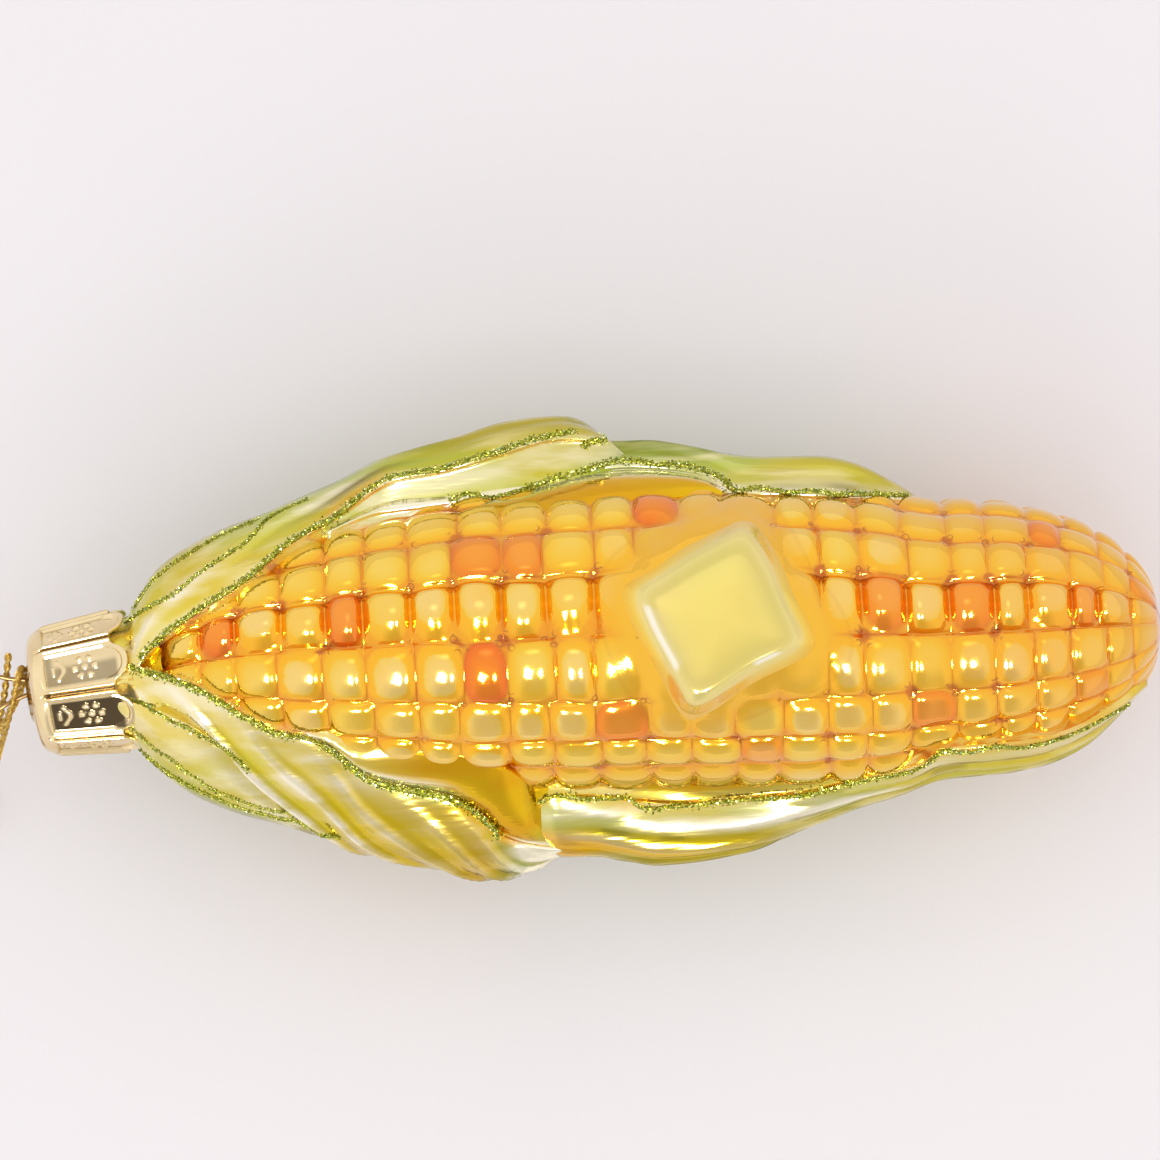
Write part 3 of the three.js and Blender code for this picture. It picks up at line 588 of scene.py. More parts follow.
def butter_reach(x, y):
    """How far a point is from the middle of the butter, measured square with the pat."""
    dx, dy = x - BUTTER_MIDDLE[0], y - BUTTER_MIDDLE[1]
    a = dx * math.cos(BUTTER_TURN) + dy * math.sin(BUTTER_TURN)
    b = dy * math.cos(BUTTER_TURN) - dx * math.sin(BUTTER_TURN)
    return (a**4 + b**4) ** 0.25 * (1 + 0.05 * math.sin(3 * math.atan2(b, a) + 1.0))


# The kernels that the brush left deep orange: rows counted round from the front one, columns
# from the cap, and how strong the colour is.
ORANGE_KERNELS = {
    (0, 1): 0.9, (0, 4): 0.85, (0, 16): 0.7, (0, 18): 0.75, (0, 21): 0.6, (0, 24): 0.5,
    (1, 7): 0.8, (1, 8): 0.75, (1, 23): 0.6, (2, 11): 0.95, (2, 20): 0.8,
    (-1, 7): 1.0, (-2, 10): 0.8, (-2, 17): 0.7, (-2, 21): 0.45, (-3, 13): 0.5,
}
SHEEN_ROWS = {0: 0.75, -1: 0.5, -2: 0.45, -3: 0.3, 1: 0.15, 2: 0.1}  # how strongly each row's crowns carry a painted pale reflection
EVEN_SAMPLES = [0, 0.035, 0.08, 0.14, 0.22, 0.3, 0.37, 0.44, 0.56, 0.68, 0.78, 0.86, 0.92, 0.965]
SEAM_SAMPLES = [0.38, 0.392, 0.404]  # across the front row, where the mould's halves met
SEAM_HEIGHT = 0.012
COARSE_SAMPLES = [0, 0.07, 0.2, 0.4, 0.6, 0.8, 0.93]
FRONT_ROWS = 5               # rows each side of the front one that are modelled finely
FULL_BODY = 14               # radius of the cob from which on its kernels have their full height
FRONT_LEAN = 0.65            # how far the front row's crowns lean to one side
FAR = 99.0                   # further from the butter than any of it runs


def pillow(along, across):
    """A kernel's height: 1 on its crown, 0 halfway along a groove and less in the corners."""
    a, b = along * along, across * across
    height = 1 - 0.4 * a - 0.6 * a * a - 0.4 * b - 0.6 * b * b
    return height if height > 0 else 0.4 * height


def melt(x, y, reach):
    """How high the melted butter stands on the kernels."""
    ripple = 0.35 * noise.noise(Vector((x * 0.3, y * 0.3, 5.0)))
    return 0.2 + ripple + 1.3 * hump(max(reach - 7.0, 0.0), 0.0, 2.4)


def slide(k, offset):
    """How far the joint before kernel k of a row lies out of line with the other rows' joints."""
    return 0.5 * uneven(k, offset, 6) if 2 <= k <= columns - 2 else 0.0


def spot(k, offset, share, side):
    """How deep the lacquer has run into the corner where four kernels meet."""
    corner = (k + (share > 0.5), offset + (side > 0.5))
    off = math.hypot(min(share, 1 - share) * KERNEL_LENGTH, min(side, 1 - side) * KERNEL_WIDTH)
    return max(0.0, uneven(*corner, 7) + 0.6) * math.exp(-((off / 0.7) ** 2))


def groove(k, offset, share, side):
    """How dark the joint round a kernel is. It runs deep in some joints and hardly shows in others."""
    to_end, to_side = min(share, 1 - share), min(side, 1 - side)
    joint = (k + (share > 0.5), offset, 8) if to_end < to_side else (k, offset + (side > 0.5), 9)
    depth = max(0.0, 0.25 + 0.55 * uneven(*joint)) * (1.0 if abs(offset) <= 1 else 0.6)
    return depth * hump(2 * min(to_end, to_side), 0.0, 0.05)


cob_columns = [(k, share) for k in range(columns) for share in EVEN_SAMPLES] + [(columns, 0.0)]
cob_rows = []
row_count = len(ROW_EDGES) - 1
for row in range(row_count):
    offset = row if row <= row_count // 2 else row - row_count
    samples = EVEN_SAMPLES if abs(offset) <= FRONT_ROWS else COARSE_SAMPLES
    samples = sorted(samples + SEAM_SAMPLES) if row == 0 else samples
    cob_rows += [(offset, side, mix(ROW_EDGES[row], ROW_EDGES[row + 1], side)) for side in samples]

cob_rings = []
cob_marks = {name: [] for name in ("orange", "crown", "melted", "groove", "pale", "spot")}
for k, share in cob_columns:
    straight = mix(joints[k], joints[min(k + 1, columns)], share)
    ring = []
    found = []
    for offset, side, degrees in cob_rows:
        x = straight + mix(slide(k, offset), slide(k + 1, offset), share)
        body = cob_radius(x)
        height = (KERNEL_HEIGHT if offset else FRONT_KERNEL_HEIGHT) * min(1.0, body / FULL_BODY)
        swell = 0.16 * uneven(k, offset, 1)
        lean = 0.3 * uneven(k, offset, 4) - (0 if offset else FRONT_LEAN)
        bent = share + 0.3 * uneven(k, offset, 3) * share * (1 - share)
        leaning = side + lean * side * (1 - side)
        crown_height = pillow(2 * bent - 1, 2 * leaning - 1)
        wander = 1.3 * noise.noise(Vector((x * 0.16, degrees * 0.045, 2.0)))
        angle = math.radians(degrees + wander)
        y = cob_shift(x) + body * math.sin(angle)
        reach = butter_reach(x, y) if math.cos(angle) > 0 else FAR
        melted = 1 - smooth(reach, POOL_RADIUS * 0.82, POOL_RADIUS * 1.18)
        radius = body + (swell * crown_height - height * (1 - crown_height)) * (1 - melted)
        radius += melt(x, y, reach) * melted
        radius += SEAM_HEIGHT if offset == 0 and side == SEAM_SAMPLES[1] else 0.0
        ring.append(place(x, cob_shift(x) + radius * math.sin(angle), radius * math.cos(angle)))
        found.append((
            ORANGE_KERNELS.get((offset, k), 0.0) * smooth(crown_height, -0.2, 0.2),
            max(0.0, crown_height),
            melted,
            groove(k, offset, share, side) * (1 - melted),
            SHEEN_ROWS.get(offset, 0.0) + 0.45 * uneven(k, offset, 2),
            spot(k, offset, share, side) * (1 - melted),
        ))
    cob_rings.append(ring)
    for rows, row in zip(cob_marks.values(), zip(*found)):
        rows.append(row)
root = [place(1.0, 0.0, 0.0)] * len(cob_rows)
tip = [place(EAR_LENGTH, cob_shift(EAR_LENGTH), 0.0)] * len(cob_rows)
cob_rings = [root] + cob_rings + [tip]
cob_marks = {name: [rows[0]] + rows + [rows[-1]] for name, rows in cob_marks.items()}

POOL_TONE = "#EEAE12"
MELTED_TONE = "#F0B824"
BRUSHED_PER_MM = 0.15
RIPPLES_PER_MM = 1.1
BUBBLES_PER_MM = 0.8
amber_lacquer, tree = new_finish("amber_lacquer_on_silvered_glass")
# Blown glass, silvered inside: clear amber lacquer glows over the mirror, runs deeper orange
# into the grooves and thins to peach on the crowns. The pale patches on the front rows' crowns
# are painted reflection. The glass itself gives the sharp lights.
coordinates = add_node(tree, "TexCoord").outputs["Object"]
along_ear = add_node(tree, "SeparateXYZ", {0: coordinates}).outputs["X"]
brushed = add_node(tree, "TexNoise", {"Vector": coordinates, "Scale": BRUSHED_PER_MM / MM, "Detail": 3.0})
ripples = add_node(tree, "TexNoise", {"Vector": coordinates, "Scale": RIPPLES_PER_MM / MM, "Detail": 2.0})
bubbles = add_node(tree, "TexVoronoi", {"Vector": coordinates, "Scale": BUBBLES_PER_MM / MM})
marked = {name: add_node(tree, "Attribute", attribute_name=name) for name in cob_marks}
# Pale patches on the front rows' crowns: painted reflection, of random strength from kernel to kernel.
rippled_crown = add_node(tree, "Math", {0: ripples, 1: 0.22, 2: marked["crown"]}, operation="MULTIPLY_ADD")
amber = add_node(tree, "ValToRGB", {"Fac": rippled_crown}, [
    (0.06, "#EC9600"), (0.25, "#F4AE00"), (0.74, "#F4B608"), (0.82, "#EEC854"), (1.0, "#F0CC70"),
])
lacquer = add_node(tree, "ValToRGB", {"Fac": marked["crown"]}, [
    (0.0, "#EC9E04"), (0.18, "#F0B210"), (0.6, "#F0C22C"), (1.0, "#F0CC52"),
])
sheen_share = add_node(tree, "MapRange", {"Value": marked["pale"], "From Min": 0.2, "From Max": 0.6})
clouded = add_node(tree, "MapRange", {"Value": brushed, "From Min": 0.4, "From Max": 0.65, "To Max": 0.45})
to_tip = add_node(tree, "MapRange", {"Value": along_ear, "From Min": 0.022, "From Max": 0.045, "To Max": 0.4})
orange = add_node(tree, "ValToRGB", {"Fac": marked["crown"]}, [
    (0.0, "#CC4000"), (0.25, "#EA6C00"), (1.0, "#F28800"),
])
pool = add_node(tree, "ValToRGB", {"Fac": marked["melted"]}, [(0.35, POOL_TONE), (0.95, MELTED_TONE)])
pool_rim = add_node(tree, "ValToRGB", {"Fac": marked["melted"]}, [
    (0.06, "#000000"), (0.14, "#707070"), (0.26, "#000000"),
])
# Small bubbles of air under the lacquer, each a thin dark ring, gather in the corners.
bubble_rims = add_node(tree, "ValToRGB", {"Fac": bubbles}, [
    (0.2, "#000000"), (0.27, "#FFFFFF"), (0.34, "#FFFFFF"), (0.4, "#000000"),
])
spots = marked["spot"]
corner = add_node(tree, "MapRange", {"Value": spots, "From Min": 0.04, "From Max": 0.2, "To Max": 0.7})
bubbled = add_node(tree, "Math", {0: bubble_rims, 1: corner}, operation="MULTIPLY")
pooled = add_node(tree, "MapRange", {"Value": spots, "From Min": 0.3, "From Max": 0.8, "To Max": 0.7})
for where, tone in (
    (sheen_share, amber), (clouded, "#F4BA08"), (to_tip, "#EEA424"), (marked["orange"], orange),
    (marked["groove"], "#CC6604"), (marked["melted"], pool), (pool_rim, "#D08818"), (bubbled, "#A85C14"),
    (pooled, "#B85408"),
):
    lacquer = add_node(tree, "Mix", {"Factor": where, A_COLOUR: lacquer, B_COLOUR: tone}, data_type="RGBA")
hand_blown = add_node(tree, "Bump", {"Height": ripples, "Strength": 0.22, "Distance": 0.09 * MM})
shader = add_node(tree, "BsdfPrincipled", {
    "Base Color": lacquer, "Metallic": 0.8, "Roughness": 0.09, "Coat Weight": 0.7, "Coat Roughness": 0.03,
    "Normal": hand_blown,
})
add_node(tree, "OutputMaterial", {"Surface": shader})
cob = finished("cob_glass", skin_over(cob_rings, cob_marks), amber_lacquer)
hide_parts("glass_body")


# The butter: a square pat standing on the kernels, blown with the rest of the glass and
# lacquered pale yellow. Its edges have softened and its foot runs out into the melted pool.
PAT_POWER = 8.0              # how square the pat is
BEVEL_SHIFT = 0.9            # the top lies nearer one side, which leaves a wide soft edge on the other
PAT_RINGS = [  # share of the half side, height under the top
    (0.0, -0.05), (0.2, -0.04), (0.4, -0.01), (0.6, 0.05), (0.76, 0.12), (0.84, 0.2), (0.89, 0.34),
    (0.93, 0.55), (0.965, 0.85), (1.0, 1.2),
]
SKIRT_RINGS = [  # share of the half side, how far it has come down to the pool
    (1.04, 0.33), (1.08, 0.6), (1.12, 0.8), (1.16, 0.94), (1.2, 1.02), (1.24, 1.15),
]
PAT_SIDES = 120
SINK = 0.5                   # how far the skirt's last ring dips under the pool
MILKY_PER_MM = 0.17
skirt_drop = PAT_RINGS[-1][1]
last_settled = SKIRT_RINGS[-1][1]
butter_profile = [(*ring, 0.0) for ring in PAT_RINGS]
butter_profile += [(share, skirt_drop, settled) for share, settled in SKIRT_RINGS]


def pool_height(x, y):
    """How high the melted butter stands at a place, in the ear's axes."""
    radius = cob_radius(x) + melt(x, y, butter_reach(x, y))
    return math.sqrt(radius**2 - (y - cob_shift(x)) ** 2)


butter_rings = []
for share, drop, settled in butter_profile:
    ring = []
    for j in range(PAT_SIDES):
        a = 2 * math.pi * j / PAT_SIDES
        square = (abs(math.cos(a)) ** PAT_POWER + abs(math.sin(a)) ** PAT_POWER) ** (-1 / PAT_POWER)
        lean = 1 + 0.03 * math.sin(2 * a + 0.6) + 0.015 * math.sin(5 * a)
        reach = BUTTER_SIDE / 2 * share * square * lean
        across = reach * math.sin(a) - BEVEL_SHIFT * (1 - smooth(share, 0.6, 1.0))
        local = Vector((reach * math.cos(a), across, -drop))
        local = Matrix.Rotation(-BUTTER_TILT, 3, "X") @ (Matrix.Rotation(BUTTER_TURN, 3, "Z") @ local)
        x, y = BUTTER_MIDDLE[0] + local.x, BUTTER_MIDDLE[1] + local.y
        z = BUTTER_TOP + local.z
        if settled:
            dip = SINK * max(0.0, settled - 1) / (last_settled - 1)
            z = mix(z, pool_height(x, y), min(1.0, settled)) - dip
        ring.append(place(x, y, z))
    butter_rings.append(ring)
butter_rings.append([place(*BUTTER_MIDDLE, BUTTER_TOP - 6)] * PAT_SIDES)


def near_left(a):
    """1 along most of the pat's left edge. a is in degrees round the pat."""
    return smooth(abs(a), 140, 146) if a > 0 else smooth(abs(a), 154, 160)


def near_right(a):
    """1 along the far half of its near edge."""
    return smooth(a, -84, -78) * (1 - smooth(a, -62, -56))


edges = [max(0.0, drop / 2.4) for _, drop in PAT_RINGS]
edges += [0.5 + 0.5 * min(1.0, settled) for _, settled in SKIRT_RINGS] + [1.0]
butter_marks = {"edge": [[edge] * PAT_SIDES for edge in edges], "painted_highlight": []}
angles = [(360 * j / PAT_SIDES + 180) % 360 - 180 for j in range(PAT_SIDES)]
for share, drop in PAT_RINGS:  # a painted highlight along two edges
    edge = hump(drop, 0.42, 0.16) if share < 1 else 0.0
    butter_marks["painted_highlight"].append([edge * max(near_left(a), near_right(a)) for a in angles])
butter_marks["painted_highlight"] += [[0.0] * PAT_SIDES] * (len(SKIRT_RINGS) + 1)
butter_lacquer, tree = new_finish("butter_lacquer_on_silvered_glass")
# The same glass under a milky yellow lacquer, thinner and creamier where it wraps the edges.
coordinates = add_node(tree, "TexCoord").outputs["Object"]
brushed = add_node(tree, "TexNoise", {"Vector": coordinates, "Scale": MILKY_PER_MM / MM, "Detail": 2.0})
edge = add_node(tree, "Attribute", attribute_name="edge")
painted_highlight = add_node(tree, "Attribute", attribute_name="painted_highlight")
milky = add_node(tree, "MapRange", {"Value": brushed, "From Min": 0.35, "From Max": 0.7, "To Max": 0.35})
lacquer = add_node(tree, "ValToRGB", {"Fac": edge}, [
    (0.0, "#D6C05E"), (0.05, "#DAC66C"), (0.2, "#E6D486"), (0.5, "#ECD684"), (0.75, "#F0CA50"),
    (0.98, MELTED_TONE),
])
# A painted highlight lies along two of the pat's edges.
for where, tone in ((milky, "#D0CA60"), (painted_highlight, "#FFFCF6")):
    lacquer = add_node(tree, "Mix", {"Factor": where, A_COLOUR: lacquer, B_COLOUR: tone}, data_type="RGBA")
shader = add_node(tree, "BsdfPrincipled", {
    "Base Color": lacquer, "Metallic": 0.6, "Roughness": 0.14, "Coat Weight": 0.5, "Coat Roughness": 0.03,
})
add_node(tree, "OutputMaterial", {"Surface": shader})
butter = finished("butter_pat", skin_over(butter_rings, butter_marks), butter_lacquer)
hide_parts("glass_body")


# The husk: the same glass as the cob, blown out into the mould's leaves. They lie open in front,
# fold over each other at the sides, and meet over the back, where the ornament rests.
LEAF_START = -0.5            # under the cap's skirt
LIP_RADIUS = 0.36
NECK_LENGTH = 7.0
NECK_RADIUS = 5.0
FLANK_SHARES = (0.0, 0.1, 0.2, 0.3, 0.4, 0.5, 0.6, 0.7, 0.8, 0.92)
LIP_ANGLES = (110, 80, 50, 25)  # degrees round a leaf's rolled lip, from the inside out
WIDEST_SINE = 0.995          # a leaf's edge never reaches quite round to the cob's widest line
FOOT_DEPTH = 0.2             # how far a leaf's inner side reaches in under the grooves
HUSK_MARKS = ("silver_and_highlight", "amber", "painted_shade", "round", "crest")

husk_top = through([
    (-0.5, 6.7), (1.0, 7.0), (1.8, 7.3), (2.3, 7.9), (3.4, 9.7), (4.7, 11.6), (5.8, 12.7), (8.1, 14.3),
    (12.8, 16.6), (17.4, 18.1), (22, 19.8),
    (26.6, 21.5), (31.2, 23.5), (35.8, 24.4), (40.3, 25.2), (44.9, 26.4), (50.5, 26.9), (54, 26.6),
    (58.4, 24.8), (62.8, 23.8), (69.5, 22.2), (74, 21.4), (80.7, 21.2), (83, 20.8), (85.2, 20.0),
    (87.4, 18.8), (89.6, 17.5), (91.8, 16.0), (97, 14.6),
])
husk_bottom = through([
    (-0.5, -6.7), (1.0, -7.0), (1.8, -7.2), (2.3, -7.7), (3.7, -9.4), (5.7, -11.3), (8.9, -13.5),
    (13.3, -15.7), (17.7, -17.2), (22.1, -18.8),
    (26.5, -20.8), (33.2, -22.4), (39.9, -24.3), (44.4, -24.2), (49, -23.4), (53.2, -22.8), (55.8, -23.1),
    (60.2, -23.8), (69.3, -23.0), (73.9, -21.7), (78.5, -20.0), (83.1, -18.4), (87.7, -17.2), (92.3, -15.8),
    (98.5, -15.5), (103, -15.0), (107, -13.9), (109.7, -12.4), (113, -9.7), (116.2, -6.8),
])
husk_front = through([
    (-0.5, 6.6), (1.8, 7.1), (2.3, 7.6), (5, 9.0), (12, 9.8), (25, 10), (45, 9.5), (60, 9), (75, 9),
    (90, 9.6), (98, 10), (105, 9), (110, 8), (116, 5),
])
husk_back = through([
    (-0.5, 6.7), (1.8, 7.2), (2.3, 7.8), (5, 10.4), (10, 13), (20, 16), (35, 18.1), (50, 18.9), (62, 19.0),
    (75, 18.6), (85, 17.8), (92, 16.7), (98, 15.4), (105, 14), (110, 11.8), (116, 6),
])


def husk_point(x, degrees, scale=1.0, lift=0.0):
    """A point of the husk's section at x. The angle runs from 0 at the front through 90 at +Y."""
    angle = math.radians(degrees)
    side = husk_top(x) - cob_shift(x) if math.sin(angle) > 0 else cob_shift(x) - husk_bottom(x)
    depth = husk_front(x) if math.cos(angle) > 0 else husk_back(x)
    y = cob_shift(x) + (side * scale + lift) * math.sin(angle)
    return Vector((x, y, (depth * scale + lift) * math.cos(angle)))


def rested(point):
    """Keeps a point of the ear above the small flat spot that the ornament rests on."""
    near = abs(point.x - REST_X) < 45 and abs(point.y) < 32
    return Vector((point.x, point.y, max(point.z, -REST_DEPTH))) if near else point


def steps(first, last, count):
    """Even steps from first to last, with both."""
    return [mix(first, last, k / count) for k in range(count + 1)]


def none(x, t):
    """For a leaf with no painted shade."""
    return 0.0


def foot(t):
    """1 at the foot of a leaf's inner side, where it meets the kernels, and 0 from halfway up."""
    return 1 - smooth(t, -0.5, -0.25)


def inner(t):
    """1 on the upper half of a leaf's inner side."""
    return smooth(t, -0.55, -0.25) * (1 - smooth(t, 0.0, 0.05))


def leaf_skin(edge, first, last, wrap, lift, flutes, flute_height, slant, silver_and_highlight, amber, flank, painted_shade=none,
              bulge=((0, -0.5), (1, -0.5)), stations=130, across=46):
    """A leaf from x = first to last. Its front edge follows edge, and it wraps round to wrap degrees.

    It lies lift above the husk's section, in flutes that slant along it. Its three colour marks give,
    for x and t, how far the silver shows through, from thin lacquer and from painted highlight, how
    golden the lacquer is, and how much painted shade lies on it; t runs from -1 at the foot of its
    inner side through 0 at its edge to 1. flank is how many degrees round the cob that side comes
    down, and bulge how far it swells on the way."""
    edge_y = through([(x, y) for x, y, _ in edge])
    edge_z = through([(x, z) for x, _, z in edge])
    wrap_at, lift_at, flank_at, bulge_at = through(wrap), through(lift), through(flank), through(bulge)
    rings = []
    marks = {name: [] for name in HUSK_MARKS}
    shares = [share - 1 for share in FLANK_SHARES] + [0.0] * len(LIP_ANGLES) + steps(0, 1, across)
    shares += [1.0, 0.7, 0.3]
    for x in steps(first, last, stations):
        upper = wrap_at(x) > 0
        side = husk_top(x) - cob_shift(x) if upper else cob_shift(x) - husk_bottom(x)
        sine = (edge_y(x) - cob_shift(x)) / (side + lift_at(x))
        start = math.degrees(math.asin(min(WIDEST_SINE, max(-WIDEST_SINE, sine))))
        ends = smooth(x, first, first + 10) * (1 - smooth(x, last - 8, last))
        drop = edge_z(x) - husk_point(x, start, 1, lift_at(x)).z
        outer, crests = [], []
        for t in steps(0, 1, across):
            point = husk_point(x, mix(start, wrap_at(x), t), 1, lift_at(x))
            phase = 2 * math.pi * (flutes * t - (x - first) * slant)
            phase += 1.6 * noise.noise(Vector((x * 0.07, t * 3, slant * 50)))
            wave = 2 * (0.5 + 0.5 * math.sin(phase + 0.8 * math.sin(phase))) ** 1.6 - 1
            crest = wave * math.sin(math.pi * min(1, t * 1.6)) * ends
            away = Vector((0, point.y - cob_shift(x), point.z)).normalized()
            outer.append(point + Vector((0, 0, drop * (1 - t) ** 3)) + away * flute_height * crest)
            crests.append(crest)
        beyond = (outer[0] - outer[1]).normalized()
        axis = Vector((x, cob_shift(x), 0))
        inwards = (axis - outer[0]).normalized()
        inwards = (inwards - beyond * inwards.dot(beyond)).normalized()
        radius = LIP_RADIUS * (0.35 + 0.65 * min(1.0, ends + 0.2))
        lip = []
        for degrees in LIP_ANGLES:
            a = math.radians(degrees)
            lip.append(outer[0] + radius * (math.sin(a) * beyond + (1 - math.cos(a)) * inwards))
        at_edge = math.atan2(outer[0].y - cob_shift(x), outer[0].z)
        at_cob = at_edge - math.copysign(math.radians(flank_at(x)), at_edge)
        sunk = cob_radius(x) - KERNEL_HEIGHT - FOOT_DEPTH
        base = Vector((x, cob_shift(x) + sunk * math.sin(at_cob), sunk * math.cos(at_cob)))
        flank = [base.lerp(lip[0], share) for share in FLANK_SHARES]
        swell = [bulge_at(x) * math.sin(math.pi * share) for share in FLANK_SHARES]
        flank = [p + (p - axis).normalized() * rise for p, rise in zip(flank, swell)]
        rooted = [axis + (p - axis) * 0.72 for p in (outer[-1], outer[across * 2 // 3], outer[across // 3])]
        ring = [rested(p) for p in flank + lip + outer + rooted]
        rings.append([place(*p) for p in ring])
        found = [[tone(x, t) for t in shares] for tone in (silver_and_highlight, amber, painted_shade)]
        found.append([abs(math.degrees(math.atan2(p.y - cob_shift(x), p.z))) / 180 for p in ring])
        found.append([0.0] * (len(flank) + len(lip)) + crests + [0.0] * len(rooted))
        for rows, row in zip(marks.values(), found):
            rows.append(row)
    close_ends(rings, marks)
    return skin_over(rings, marks)


